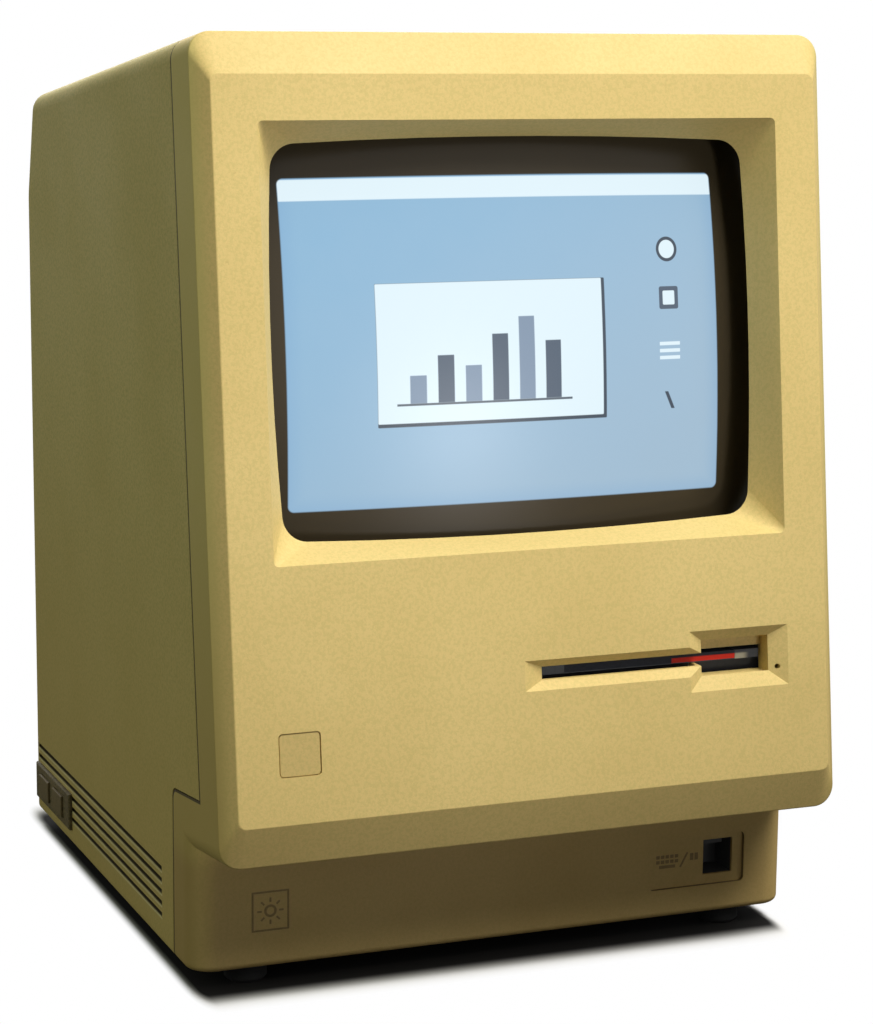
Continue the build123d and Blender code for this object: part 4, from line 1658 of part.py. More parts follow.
def stepper_motor():
    x = DRIVE_CENTRE + LEAD_X
    body = rod_y(x, ROD_Z, DRIVE_REAR_Y, DRIVE_REAR_Y + STEPPER_LENGTH, STEPPER_RADIUS)
    bore_end = DRIVE_REAR_Y + STEPPER_LENGTH / 2 + 1
    return body - rod_y(x, ROD_Z, DRIVE_REAR_Y - 1, bore_end, LEAD_RADIUS + RUNNING_FIT)


def eject_motor():
    """Small motor with its gear case on the tray's floor."""
    x, z, half = DRIVE_CENTRE + EJECT_X, DRIVE_BOTTOM + DRIVE_WALL, EJECT_SIZE / 2
    y1 = DRIVE_REAR_Y - EJECT_REAR_GAP
    y0 = y1 - EJECT_GEAR_LENGTH
    gears = block(x, x + EJECT_SIZE, y0, y1, z, z + EJECT_SIZE)
    return gears + rod_y(x + half, z + half, y0 - EJECT_MOTOR_LENGTH, y0, half)


def diskette_shell():
    """Hard shell with one cut corner, a hub opening below, a head window and a recess for the label."""
    x, y0, y1 = DRIVE_CENTRE, DISK_FRONT_Y, DISK_REAR_Y
    half = DISK_WIDTH / 2
    outline = make_face(Polyline((x - half, y0), (x + half, y0), (x + half, y1 - DISK_CORNER),
                                 (x + half - DISK_CORNER, y1), (x - half, y1), close=True))
    shell = extrude(Pos(0, 0, DISK_BOTTOM) * outline, amount=DISK_THICKNESS)
    shell -= rod_z(x, HUB_Y, DISK_BOTTOM - 1, DISK_BOTTOM + HUB_RISE + HUB_THICKNESS, HUB_RADIUS + 1)
    window = HEAD_WINDOW_WIDTH / 2
    shell -= block(x - window, x + window, y1 - HEAD_WINDOW_GAP - HEAD_WINDOW_LENGTH, y1 - HEAD_WINDOW_GAP,
                   DISK_BOTTOM - 1, DISK_TOP + 1)
    recess_x = x - SHUTTER_WIDTH / 2 - SHUTTER_TRAVEL
    for z0, z1 in ((DISK_BOTTOM - 1, DISK_BOTTOM + SHUTTER_SHEET), (DISK_TOP - SHUTTER_SHEET, DISK_TOP + 1)):
        shell -= block(recess_x, x + SHUTTER_WIDTH / 2, y1 - SHUTTER_LENGTH, y1 + 1, z0, z1)
    shell -= block(recess_x, x + SHUTTER_WIDTH / 2, y1 - SHUTTER_SHEET, y1 + 1, DISK_BOTTOM - 1, DISK_TOP + 1)
    return shell - label_block(y0 - 1)


def label_block(front):
    """Space of the label, on the top and round the front edge."""
    x, half = DRIVE_CENTRE, LABEL_WIDTH / 2
    top = block(x - half, x + half, front, DISK_FRONT_Y + LABEL_LENGTH, DISK_TOP - LABEL_THICKNESS, DISK_TOP)
    edge = block(x - half, x + half, front, DISK_FRONT_Y + LABEL_THICKNESS, DISK_BOTTOM + LABEL_THICKNESS,
                 DISK_TOP)
    return top + edge


def diskette_shutter():
    """Sheet metal shutter folded round the rear edge, slid open as it is inside the drive."""
    x, y1 = DRIVE_CENTRE, DISK_REAR_Y
    x0, x1 = x - SHUTTER_WIDTH / 2 - SHUTTER_TRAVEL, x + SHUTTER_WIDTH / 2 - SHUTTER_TRAVEL
    shutter = block(x0, x1, y1 - SHUTTER_SHEET, y1, DISK_BOTTOM, DISK_TOP)
    shutter += block(x0, x1, y1 - SHUTTER_LENGTH, y1, DISK_BOTTOM, DISK_BOTTOM + SHUTTER_SHEET)
    return shutter + block(x0, x1, y1 - SHUTTER_LENGTH, y1, DISK_TOP - SHUTTER_SHEET, DISK_TOP)


def diskette_hub():
    z = DISK_BOTTOM + HUB_RISE
    return rod_z(DRIVE_CENTRE, HUB_Y, z, z + HUB_THICKNESS, HUB_RADIUS)


PARTS = {}


def build():
    PARTS["front_bezel"] = front_bezel()
    PARTS["badge_plate"] = badge_plate()
    PARTS["rear_case"] = rear_case()
    PARTS["battery_door"] = battery_door()
    PARTS["battery"] = battery()
    PARTS["battery_contacts"] = battery_contacts()
    PARTS["front_feet"] = feet(CHIN_Y + FRONT_FOOT_SETBACK)
    PARTS["rear_feet"] = feet(REAR_Y - REAR_FOOT_SETBACK)
    PARTS["case_screws"] = case_screws()
    for maker in (
        picture_tube, tube_band, tube_screws, deflection_yoke, centring_rings, neck_board, anode_cap,
        chassis, chassis_screws, logic_board, processor, rom_chips, memory_chips, support_chips,
        push_switches,
        keyboard_jack, port_posts, audio_jack, analog_bracket, analog_board, flyback_transformer,
        filter_capacitors, heat_sink, speaker, power_inlet, switch_body, switch_rocker, brightness_wheel,
        brightness_pot, switch_clip, drive_bracket, drive_frame, drive_cover, spindle, spindle_motor,
        head_carriage, guide_rods, lead_screw, stepper_motor, eject_motor, diskette_shell, diskette_shutter,
        diskette_hub,
    ):
        PARTS[maker.__name__] = maker()
    PARTS["inlet_pins"] = pin_blades()
    PARTS["diskette_label"] = label_block(DISK_FRONT_Y)
    front_y, rear_y = BUTTON_PLACES
    PARTS["reset_button"] = side_button(front_y)
    PARTS["interrupt_button"] = side_button(rear_y)
    for name, (x, shell) in PORTS.items():
        PARTS[name] = port(x, shell)


def write_parts():
    os.makedirs("parts", exist_ok=True)
    for name, shape in PARTS.items():
        shape.label = name
        export_step(shape, os.path.join("parts", name + ".step"))


build()
write_parts()
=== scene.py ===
# %% [markdown]
# # An all-in-one desktop computer
#
# This lesson dresses a computer of the mid nineteen-eighties: a beige plastic housing whose front leans
# back, a nine inch display, a diskette drive below it and a keyboard socket in the chin. Its solids come
# ready made, so that every panel gap and screw is already where a maker would put it. Our work is what
# the eye reads next: the aged plastic, the glowing tube, the small printed and moulded details, and light.
#
# Everything is in metres. X runs to the right, Y to the back and Z up, and the ground is at zero.

from math import cos, pi, radians, sin, tan

import bmesh
import bpy
from mathutils import Matrix, Vector


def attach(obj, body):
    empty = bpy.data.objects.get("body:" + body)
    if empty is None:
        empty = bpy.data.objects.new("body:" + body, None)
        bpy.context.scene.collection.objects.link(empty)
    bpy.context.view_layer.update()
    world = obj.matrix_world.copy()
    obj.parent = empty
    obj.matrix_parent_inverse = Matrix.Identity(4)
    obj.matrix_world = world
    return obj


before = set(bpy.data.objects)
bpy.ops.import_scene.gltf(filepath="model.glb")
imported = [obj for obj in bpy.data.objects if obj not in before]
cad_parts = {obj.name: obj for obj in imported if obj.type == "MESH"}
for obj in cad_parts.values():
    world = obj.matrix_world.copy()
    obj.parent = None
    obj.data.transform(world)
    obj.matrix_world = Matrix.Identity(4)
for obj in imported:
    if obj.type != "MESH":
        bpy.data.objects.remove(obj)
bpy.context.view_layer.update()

# %% [markdown]
# ## The leaning front
#
# The face leans back 6.4 degrees. It helps to think in the face's own directions: u to the right, v up the
# slope and a depth behind the face. One function turns such a point into a place in the room, and the three
# directions are kept as vectors, so that a pattern can follow the slope.

# %% A frame for the leaning front
MM = 0.001
LEAN = radians(6.4)
RING_TOE_Y = -133.374 * MM
RING_BOTTOM_Z = 56.6 * MM
CHAMFER_DEPTH = 6.6 * MM
CHIN_Y = -98.874 * MM
RIGHTWARD = Vector((1, 0, 0))
UPSLOPE = Vector((0, sin(LEAN), cos(LEAN)))
OUTWARD = Vector((0, -cos(LEAN), sin(LEAN)))


def on_face(u, v, depth=0.0):
    """The place of a point of the leaning face, all three in millimetres."""
    toe = Vector((0, RING_TOE_Y, RING_BOTTOM_Z))
    return toe + RIGHTWARD * u * MM + UPSLOPE * v * MM - OUTWARD * (depth * MM - CHAMFER_DEPTH)


print("middle of the screen at", [round(c, 4) for c in on_face(0, 182.4, 14)])

# %% [markdown]
# ## Where we stand
#
# The camera stands a metre away, to the left of the front and a little above the top edge. A long lens keeps
# the upright edges nearly parallel. The camera's three axes are given outright: one that points back from the
# object to the camera, one to the right and one up, the last two turned by half a degree of roll.

# %% Place the camera
IMAGE_HEIGHT = 1024
FOCAL_PIXELS = 2749.6
SENSOR = 36.0
CAMERA_PLACE = Vector((-0.3971, -1.0141, 0.3491))
BACKWARD = Vector((-0.3682, -0.9129, 0.1760)).normalized()
ROLL = radians(0.508)

level_right = Vector((0, 0, 1)).cross(BACKWARD).normalized()
level_up = BACKWARD.cross(level_right)
camera_right = level_right * cos(ROLL) + level_up * sin(ROLL)
camera_up = level_up * cos(ROLL) - level_right * sin(ROLL)

lens = bpy.data.cameras.new("studio_camera")
lens.sensor_fit = "AUTO"
lens.sensor_width = SENSOR
lens.lens = FOCAL_PIXELS * SENSOR / IMAGE_HEIGHT
lens.clip_start = 0.01
camera = bpy.data.objects.new("studio_camera", lens)
bpy.context.scene.collection.objects.link(camera)
pose = Matrix((camera_right, camera_up, BACKWARD)).transposed().to_4x4()
camera.matrix_world = Matrix.Translation(CAMERA_PLACE) @ pose
bpy.context.scene.camera = camera
print("lens of", round(lens.lens, 1), "mm")

# %% [markdown]
# ## A kit for finishes
#
# A finish is a small network of nodes. Written out one link at a time it is hard to read, so a Wire wraps one
# output and lets us use plain arithmetic: `1 - mask` adds a Math node. A Network adds every node by one
# method, and a Finish is the network of a material with its single Principled shader. Numbers that are the
# same all over go straight on the shader's own sockets.

# %% A wire that can be reckoned with
class Wire:
    """One output of a network, with the usual arithmetic."""

    def __init__(self, network, socket):
        self.network, self.socket = network, socket

    def maths(self, operation, *values):
        """Adds a Math node."""
        return self.network.node("ShaderNodeMath", {"operation": operation}, *values)

    def __add__(self, other):
        return self.maths("ADD", self, other)

    def __radd__(self, other):
        return self.maths("ADD", other, self)

    def __sub__(self, other):
        return self.maths("SUBTRACT", self, other)

    def __rsub__(self, other):
        return self.maths("SUBTRACT", other, self)

    def __mul__(self, other):
        return self.maths("MULTIPLY", self, other)

    def __rmul__(self, other):
        return self.maths("MULTIPLY", other, self)

    def __abs__(self):
        return self.maths("ABSOLUTE", self)

    def most(self, other):
        """The larger of two values."""
        return self.maths("MAXIMUM", self, other)

    def least(self, other):
        """The smaller of two values."""
        return self.maths("MINIMUM", self, other)

    def root(self):
        return self.maths("SQRT", self)

    def sine(self):
        return self.maths("SINE", self)

    def ramp(self, low, high):
        """Nought below low, one above high, with a smooth step between. It falls where low is the larger."""
        if low > high:
            return 1 - self.ramp(high, low)
        return self.network.node("ShaderNodeMapRange", {"interpolation_type": "SMOOTHSTEP"}, Value=self,
                                 From_Min=low, From_Max=high)

    def between(self, low, high, soft):
        """One from low to high and nought outside, with a soft step inside each end."""
        return self.ramp(low, low + soft) * self.ramp(high, high - soft)

    def along(self, direction):
        """How far this place lies along a direction."""
        return self.network.node("ShaderNodeVectorMath", {"operation": "DOT_PRODUCT"}, self, tuple(direction))

    def from_point(self, point):
        """This place, counted from a point."""
        return self.network.node("ShaderNodeVectorMath", {"operation": "SUBTRACT"}, self, tuple(point))


# %% A network that one method fills
class Network:
    """The nodes of a material or of the world."""

    def __init__(self, tree, output):
        self.tree = tree
        tree.nodes.clear()
        self.surface = tree.nodes.new(output).inputs["Surface"]

    def node(self, kind, settings, *values, out=0, **named):
        """Adds a node: its settings first, then values or links for the sockets that these leave in use."""
        node = self.tree.nodes.new(kind)
        for key, value in settings.items():
            setattr(node, key, value)
        sockets = [socket for socket in node.inputs if socket.enabled]
        outputs = [socket for socket in node.outputs if socket.enabled]
        by_name = [(node.inputs[key.replace("_", " ")], value) for key, value in named.items()]
        for socket, value in [*zip(sockets, values), *by_name]:
            if isinstance(value, Wire):
                self.tree.links.new(value.socket, socket)
            else:
                socket.default_value = (*value, 1) if socket.type == "RGBA" else value
        return Wire(self, node.outputs[out] if isinstance(out, str) else outputs[out])

    def mix(self, share, first, second):
        """Blends two colours."""
        return self.node("ShaderNodeMix", {"data_type": "RGBA"}, share, first, second)

    def show(self, shader):
        """Sends a shader to the output."""
        self.tree.links.new(shader.socket, self.surface)


# %% A finish: a network with one shader
class Finish(Network):
    """A material named for its surface, with its shader's even values set at once."""

    def __init__(self, name, **even):
        self.material = bpy.data.materials.new(name)
        self.material.use_nodes = True
        super().__init__(self.material.node_tree, "ShaderNodeOutputMaterial")
        self.principled = self.node("ShaderNodeBsdfPrincipled", {}, **even)
        self.shader = self.principled.socket.node
        self.show(self.principled)
        self.place = self.node("ShaderNodeTexCoord", {}, out="Object")

    def axes(self):
        """The three coordinates of the place, in millimetres."""
        return [self.place.along(axis / MM) for axis in Matrix.Identity(3)]

    def noise(self, size_mm, detail=2.0, roughness=0.5, place=None):
        """Cloudy pattern whose spots are about so many millimetres across."""
        return self.node("ShaderNodeTexNoise", {}, out="Fac", Vector=place or self.place,
                         Scale=1 / (size_mm * MM), Detail=detail, Roughness=roughness)

    def squeezed(self, sx, sy, sz):
        """The place with its axes drawn out, for a grain that runs one way."""
        return self.node("ShaderNodeMapping", {}, Vector=self.place, Scale=(sx, sy, sz))

    def bump(self, height, depth_mm, strength=1.0):
        """Turns a height from nought to one into a relief so many millimetres deep."""
        return self.node("ShaderNodeBump", {}, out="Normal", Height=height, Strength=strength,
                         Distance=depth_mm * MM)

    def now(self, socket):
        """What feeds a socket of the shader at present."""
        return Wire(self, self.shader.inputs[socket].links[0].from_socket)

    def set(self, **varying):
        """Links what changes over the surface to the shader."""
        for socket, wire in varying.items():
            self.tree.links.new(wire.socket, self.shader.inputs[socket.replace("_", " ")])
        return self

    def wear(self, *names):
        """Puts the finish on solids."""
        for name in names:
            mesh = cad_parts[name].data
            mesh.materials.clear()
            mesh.materials.append(self.material)
        return self


def tone(red, green, blue):
    """A screen colour from 0 to 255 as the linear values that a shader takes."""
    values = [channel / 255 for channel in (red, green, blue)]
    return tuple(c / 12.92 if c <= 0.04045 else ((c + 0.055) / 1.055) ** 2.4 for c in values)


print("kit ready")

# %% [markdown]
# ## Light and ground
#
# The object stands on a pale table in a plain studio. A broad soft lamp hangs high before it and to the
# right, so the face is bright and the flank on our left falls into shade. A weak greenish lamp stands off to
# the left, a spot from low down opens the recesses of the face, and a broad lamp behind serves the views of
# the rear. What the camera sees behind the object is white because the world says so to rays from the camera,
# to mirror rays and to rays through glass. The table glows white away from the object and keeps its shadow
# close by, where it also has a painted shadow round the foot. To other rays the table is dark, so that it
# throws no light up under the chin.

# %% Lamps
def hang(light, place, aim):
    """Puts a light in the room so that it points from one place at another."""
    lamp = bpy.data.objects.new(light.name, light)
    bpy.context.scene.collection.objects.link(lamp)
    backward = (Vector(place) - Vector(aim)).normalized()
    turn = backward.to_track_quat("Z", "Y").to_matrix().to_4x4()
    lamp.matrix_world = Matrix.Translation(Vector(place)) @ turn


def spot_lamp(name, place, aim, radius, beam, watts):
    """Round lamp with a soft-edged beam."""
    light = bpy.data.lights.new(name, "SPOT")
    light.shadow_soft_size = radius
    light.spot_size = beam
    light.spot_blend = 1.0
    light.energy = watts
    hang(light, place, aim)


def soft_lamp(name, place, aim, width, watts, colour=(1, 1, 1)):
    """Square lamp."""
    light = bpy.data.lights.new(name, "AREA")
    light.shape = "RECTANGLE"
    light.size, light.size_y = width, width
    light.energy = watts
    light.color = colour
    hang(light, place, aim)


soft_lamp("key_lamp", (0.55, -0.92, 1.78), (0, 0, 0.2), 1.0, 45, (1.0, 0.985, 0.95))
soft_lamp("side_lamp", (-1.9, -0.35, 0.9), (0, 0, 0.2), 1.0, 6.6, (0.88, 1.0, 0.72))
spot_lamp("front_lamp", (0.3, -1.2, 0.12), (-0.035, -0.12, 0.285), 0.12, radians(30), 16.0)
soft_lamp("back_lamp", (0.5, 2.1, 1.5), (0, 0, 0.17), 1.4, 36)
print(len(bpy.data.lights), "lamps")

# %% World
FILL = 0.09

world = bpy.data.worlds.new("studio")
bpy.context.scene.world = world
world.use_nodes = True
sky = Network(world.node_tree, "ShaderNodeOutputWorld")
seen, glass, mirror = (sky.node("ShaderNodeLightPath", {}, out=kind)
                       for kind in ("Is Camera Ray", "Is Transmission Ray", "Is Glossy Ray"))
dim = sky.node("ShaderNodeBackground", {}, (1.0, 0.97, 0.92), FILL)
white = sky.node("ShaderNodeBackground", {}, (1.0, 1.0, 1.0), 1.0)
sky.show(sky.node("ShaderNodeMixShader", {}, seen.most(glass).most(mirror), dim, white))
print("room fill of", FILL)

# %% Table
# Its painted shadow round the foot is a rectangle in millimetres that fades out, and faster at the sides.
SHADE_MIDDLE = (-1.5, 20.0)
SHADE_HALF = (114.5, 114.0)
SIDE_STEEPNESS = 3.5
UNSEEN_TABLE = (0.03, 0.028, 0.024)

table_shape = bmesh.new()
bmesh.ops.create_grid(table_shape, x_segments=2, y_segments=2, size=4.0)
table_mesh = bpy.data.meshes.new("table_top")
table_shape.to_mesh(table_mesh)
table_shape.free()
table = bpy.data.objects.new("table_top", table_mesh)
bpy.context.scene.collection.objects.link(table)
paper = Finish("pale_table", Roughness=0.9, Specular_IOR_Level=0.1)
camera_ray = paper.node("ShaderNodeLightPath", {}, out="Is Camera Ray")
x, y, _ = paper.axes()
beside = ((abs(x - SHADE_MIDDLE[0]) - SHADE_HALF[0]) * SIDE_STEEPNESS).most(0.0)
before = (abs(y - SHADE_MIDDLE[1]) - SHADE_HALF[1]).most(0.0)
away = (beside * beside + before * before).root()
seen_tone = paper.mix(paper.noise(2.0), tone(246, 246, 245), tone(252, 252, 251))
# Painted shadow: close round the foot the table is painted near-black for the camera.
seen_tone = paper.mix(away.ramp(7.0, 21.0), tone(22, 21, 20), seen_tone)
paper.set(Base_Color=paper.mix(camera_ray, UNSEEN_TABLE, seen_tone))
glow = paper.node("ShaderNodeEmission", {})
glowing = camera_ray * away.ramp(13.0, 28.0)
paper.show(paper.node("ShaderNodeMixShader", {}, glowing, paper.principled, glow))
table_mesh.materials.append(paper.material)

bpy.context.scene.view_settings.view_transform = "Standard"
print("table laid")

# %% [markdown]
# ## Aged beige plastic
#
# The housing is moulded in a beige that has yellowed. The mould was etched, so the surface has a fine stipple
# of about half a millimetre, which breaks up every highlight. Age is uneven: broad clouds of tone, small
# green and brown flecks, and a greyer film of handling low down. We could scatter these by hand in an image,
# but a few noise patterns of different sizes on the object's own place do it for every panel at once and
# match across the seam. Dirt and painted shade lie along the parting line, which is a distance to a bent line
# seen from the side. Painted shade also goes inside the side slots, round the keyboard socket, on the flanks,
# low down and on the chin, and a painted highlight lies on the rib below each slot.

# %% Where dirt and painted shade gather
FLANK_X = 122.0
INNER_FLANK_X = 112.0
SEAM_Y = RING_TOE_Y / MM + 21.2
SEAM_STEP_Z = 75.5
LOWER_SEAM_Y = RING_TOE_Y / MM + 57.0
SEAM_CORNER = 4.0
SLOT_TOP_Z, SLOT_PITCH, SLOT_HALF = 36.4, 4.5, 1.0
SLOT_ROWS = 5
SLOT_FIELD_Y = (-61.4, 130.5)
SLOT_FIELD_Z = (14.5, 39.0)
SOCKET_RECESS_X = (50.0, 109.0)
SOCKET_RECESS_Z = (12.0, 48.0)
print("the parting line starts", round(SEAM_Y - RING_TOE_Y / MM, 1), "mm behind the ring")


def seam_distance(skin):
    """How far a place lies behind the parting line of the housing, in millimetres."""
    _, y, z = skin.axes()
    behind_upper = y - (SEAM_Y + (z - RING_BOTTOM_Z / MM) * tan(LEAN))
    step_y = SEAM_Y + (SEAM_STEP_Z - RING_BOTTOM_Z / MM) * tan(LEAN)
    behind_lower = (y - (LOWER_SEAM_Y - SEAM_CORNER)).most(0.0)
    above_step = (z + (y - step_y) * tan(LEAN) - (SEAM_STEP_Z - SEAM_CORNER)).most(0.0)
    corner = (behind_lower * behind_lower + above_step * above_step).root() - SEAM_CORNER
    return behind_upper.least(corner)


def seam_dirt_and_shade(skin):
    """Dirt and painted shade in the groove, mostly just before the parting line."""
    distance = seam_distance(skin)
    return distance.ramp(-0.95, -0.7) * distance.ramp(0.35, 0.1)


def slot_marks(skin):
    """The painted shade inside the side slots, and the painted highlight on the rib below each."""
    x, y, z = skin.axes()
    # Painted shade on the walls inside the slots.
    inside = abs(x).ramp(FLANK_X - 0.2, FLANK_X - 0.6) * abs(x).ramp(INNER_FLANK_X, INNER_FLANK_X + 1.0)
    rows = z.between(*SLOT_FIELD_Z, 0.5) * y.between(*SLOT_FIELD_Y, 0.3)
    rib_tops = [SLOT_TOP_Z - SLOT_HALF - i * SLOT_PITCH for i in range(SLOT_ROWS)]
    # A painted highlight on the rib below each slot.
    rib_highlight = sum(z.ramp(top - 0.9, top - 0.3) * z.ramp(top + 0.1, top) for top in rib_tops)
    return inside * rows, rib_highlight * rows * (1 - inside)


def socket_recess_wall(skin):
    """The low wall of the shallow recess round the keyboard socket, which gets painted shade."""
    x, y, z = skin.axes()
    behind_chin = y - CHIN_Y / MM
    wall = behind_chin.ramp(0.1, 0.35) * behind_chin.ramp(1.75, 1.6)
    return wall * x.between(*SOCKET_RECESS_X, 1.0) * z.between(*SOCKET_RECESS_Z, 1.0)


# %% Moulded plastic
# Near-black, for dirt and for painted shade.
DIRT_AND_SHADE = tone(34, 28, 18)
GREENER, BROWNER = (0.72, 0.92, 0.7), (0.8, 0.62, 0.55)


def times(colour, shares):
    """A colour with each channel multiplied by a share."""
    return tuple(channel * share for channel, share in zip(colour, shares))


def moulded(name, colour, shade, stipple_mm=0.55, relief_mm=0.045, shine=0.52, marks=None, mottle=0.25):
    """Etched plastic: a colour, its darker patches, and the size and depth of the stipple."""
    skin = Finish(name, IOR=1.48, Specular_IOR_Level=0.35)
    clouds = skin.noise(90, 3.0, 0.55).ramp(0.35, 0.7)
    grains = skin.noise(stipple_mm, 1.0, 0.6)
    handled = skin.axes()[2].ramp(90.0, 0.0) * skin.noise(35, 3.0, 0.6).ramp(0.3, 0.75)
    base = skin.mix(clouds * 0.22 + grains * 0.3 + handled * 0.35, colour, shade)
    flecks = skin.noise(1.3, 2.0, 0.7).ramp(0.42, 0.62)
    base = skin.mix(flecks * mottle, base, times(shade, GREENER))
    specks = skin.noise(1.6, 2.0, 0.7).ramp(0.62, 0.78)
    base = skin.mix(specks * 0.9 * mottle, base, times(shade, BROWNER))
    if marks:
        base = marks(skin, base)
    gloss = grains * 0.12 + clouds * 0.08 + shine
    return skin.set(Base_Color=base, Roughness=gloss, Normal=skin.bump(grains, relief_mm, 0.9))


def bezel_marks(skin, base):
    """Painted shade: a greener, darker flank, browner low down, a darker chin and the socket's recess wall;
    dirt and painted shade in the seam.
    """
    x, _, z = skin.axes()
    flank = abs(x).ramp(FLANK_X - 4.5, FLANK_X)
    # Painted shade: the flank band is painted greener and darker, and browner low down.
    base = skin.mix(flank * 0.7, base, tone(200, 186, 112))
    base = skin.mix(flank * z.ramp(220.0, 60.0) * 0.45, base, tone(170, 136, 78))
    # Painted shade: the chin under the overhang is painted darker.
    base = skin.mix(z.ramp(56.0, 44.0) * 0.45, base, tone(160, 128, 82))
    # Painted shade on the wall of the socket's recess.
    base = skin.mix(socket_recess_wall(skin) * 0.7, base, DIRT_AND_SHADE)
    # Dirt and painted shade in the seam.
    return skin.mix(seam_dirt_and_shade(skin) * 0.9, base, DIRT_AND_SHADE)


def case_marks(skin, base):
    """Painted shade, darker and browner low down and inside the slots; a painted highlight on the ribs; dirt
    and painted shade in the seam.
    """
    inside, rib_highlight = slot_marks(skin)
    _, _, z = skin.axes()
    # Painted shade: the case is painted darker and browner low down.
    base = skin.mix(z.ramp(220.0, 30.0) * 0.5, base, tone(206, 176, 106))
    # A painted highlight on the rib below each slot.
    base = skin.mix(rib_highlight * 0.8, base, tone(244, 232, 180))
    # Dirt and painted shade in the seam, and painted shade inside the slots.
    return skin.mix((seam_dirt_and_shade(skin) * 0.9).most(inside * 0.95), base, DIRT_AND_SHADE)


moulded("bezel_plastic", tone(228, 202, 132), tone(198, 170, 100), marks=bezel_marks, mottle=0.2).wear(
    "front_bezel")
moulded("case_plastic", tone(216, 197, 126), tone(176, 158, 92), 0.7, 0.07, marks=case_marks,
        mottle=0.36).wear("rear_case")
moulded("door_plastic", tone(212, 190, 120), tone(174, 154, 92), 0.7, 0.07, mottle=0.36).wear("battery_door")
moulded("clip_plastic", tone(128, 112, 72), tone(66, 56, 36), 0.9, 0.12, mottle=0.8).wear("switch_clip")
moulded("badge_finish", tone(214, 188, 120), tone(188, 160, 94), 0.4, 0.02, 0.42).wear("badge_plate")
moulded("button_plastic", tone(120, 104, 68), tone(80, 68, 44), 0.5, 0.03).wear(
    "reset_button", "interrupt_button")
moulded("wheel_plastic", tone(186, 164, 104), tone(150, 128, 78), 0.5, 0.03).wear("brightness_wheel")
print("housing dressed")

# %% [markdown]
# ## The lit display
#
# The tube is one solid of glass, so its picture is a finish: a phosphor that glows where the beam writes and
# stays dark brown-grey outside. Distances from the middle of the glass, along u and v, say where we are. A
# rounded rectangle is the distance to its edge, turned into a soft step. What the computer drew is plain: a
# pale strip along the top, a pale panel with a small bar chart, three simple marks and a slanted pointer.

# %% Shapes on the display
SCREEN_MIDDLE = on_face(0, 182.4, 14.0)


def rectangle(across, up, middle, size, corner=0.2, soft=0.25):
    """One inside a rounded rectangle and nought outside, all in millimetres."""
    beyond_x = (abs(across - middle[0]) - (size[0] / 2 - corner)).most(0.0)
    beyond_y = (abs(up - middle[1]) - (size[1] / 2 - corner)).most(0.0)
    distance = (beyond_x * beyond_x + beyond_y * beyond_y).root() - corner
    return distance.ramp(soft / 2, -soft / 2)


def disc(across, up, middle, radius, soft=0.25):
    """One inside a circle."""
    x, y = across - middle[0], up - middle[1]
    return ((x * x + y * y).root() - radius).ramp(soft / 2, -soft / 2)


# %% Glass and phosphor
tube = Finish("lit_tube", Roughness=0.32, IOR=1.5, Specular_IOR_Level=0.25, Emission_Strength=1.0)
offset = tube.place.from_point(SCREEN_MIDDLE)
across = offset.along(RIGHTWARD / MM)
up = offset.along(UPSLOPE / MM)
behind = offset.along(-OUTWARD / MM)
faceplate = behind.ramp(20.0, 18.0)
RASTER = (171.0, 118.3)
raster = rectangle(across, up, (0, -1.0), RASTER, corner=2.2, soft=0.7) * faceplate

drift = (across * 0.004 - up * 0.006).ramp(-0.6, 0.6)
wash = tube.mix(drift, tone(138, 182, 213), tone(160, 186, 206))
weave = tube.noise(14, 2.0)
wash = tube.mix(weave * 0.25, wash, tone(158, 190, 215))
rim_x = (abs(across) - 78).ramp(0.0, 10.0)
rim_y = (abs(up + 1) - 52).ramp(0.0, 9.0)
wash = tube.mix(rim_x.most(rim_y) * 0.35, wash, tone(120, 165, 205))
print("a picture of", RASTER, "mm")

# %% What the computer drew
PALE = tone(226, 243, 250)
INK = tone(52, 60, 72)
MARK = tone(74, 86, 102)
LIGHT_MARK = tone(128, 146, 168)
BAR_HEIGHTS = (10, 17, 13, 24, 30, 21)
BAR_WIDTH, BAR_PITCH, FIRST_BAR, BAR_FOOT = 6.2, 10.5, -38, -23
MARKS_X = 64
POINTER_SLANT = 0.45

picture = tube.mix(rectangle(across, up, (0, 53.9), (RASTER[0], 7.6), 0.4, 0.5), wash, PALE)
panel = rectangle(across, up, (-9, -5), (88, 50), 0.4, 0.4)
edge = rectangle(across, up, (-8.4, -5.6), (89.4, 51.4), 0.4, 0.4)
picture = tube.mix(edge, picture, INK)
picture = tube.mix(panel, picture, PALE)
for i, height in enumerate(BAR_HEIGHTS):
    middle = (FIRST_BAR + i * BAR_PITCH, BAR_FOOT + height / 2)
    column = rectangle(across, up, middle, (BAR_WIDTH, height), 0.2, 0.4)
    picture = tube.mix(column, picture, MARK if i % 2 else LIGHT_MARK)
picture = tube.mix(rectangle(across, up, (-12, -23.4), (68, 0.8), 0.1, 0.3), picture, INK)
for radius, colour in ((4.6, INK), (3.4, PALE)):
    picture = tube.mix(disc(across, up, (MARKS_X, 30), radius), picture, colour)
for size, corner, colour in ((8.4, 0.8, MARK), (5.2, 0.5, PALE)):
    picture = tube.mix(rectangle(across, up, (MARKS_X, 12), (size, size), corner), picture, colour)
for i in range(3):
    picture = tube.mix(rectangle(across, up, (MARKS_X, -5.0 - i * 2.6), (9.0, 1.3), 0.2), picture, PALE)
pointer = rectangle(across + up * POINTER_SLANT, up, (52.0, -26.0), (1.5, 6.4), 0.2, 0.4)
picture = tube.mix(pointer, picture, INK)
print(len(BAR_HEIGHTS), "bars drawn")

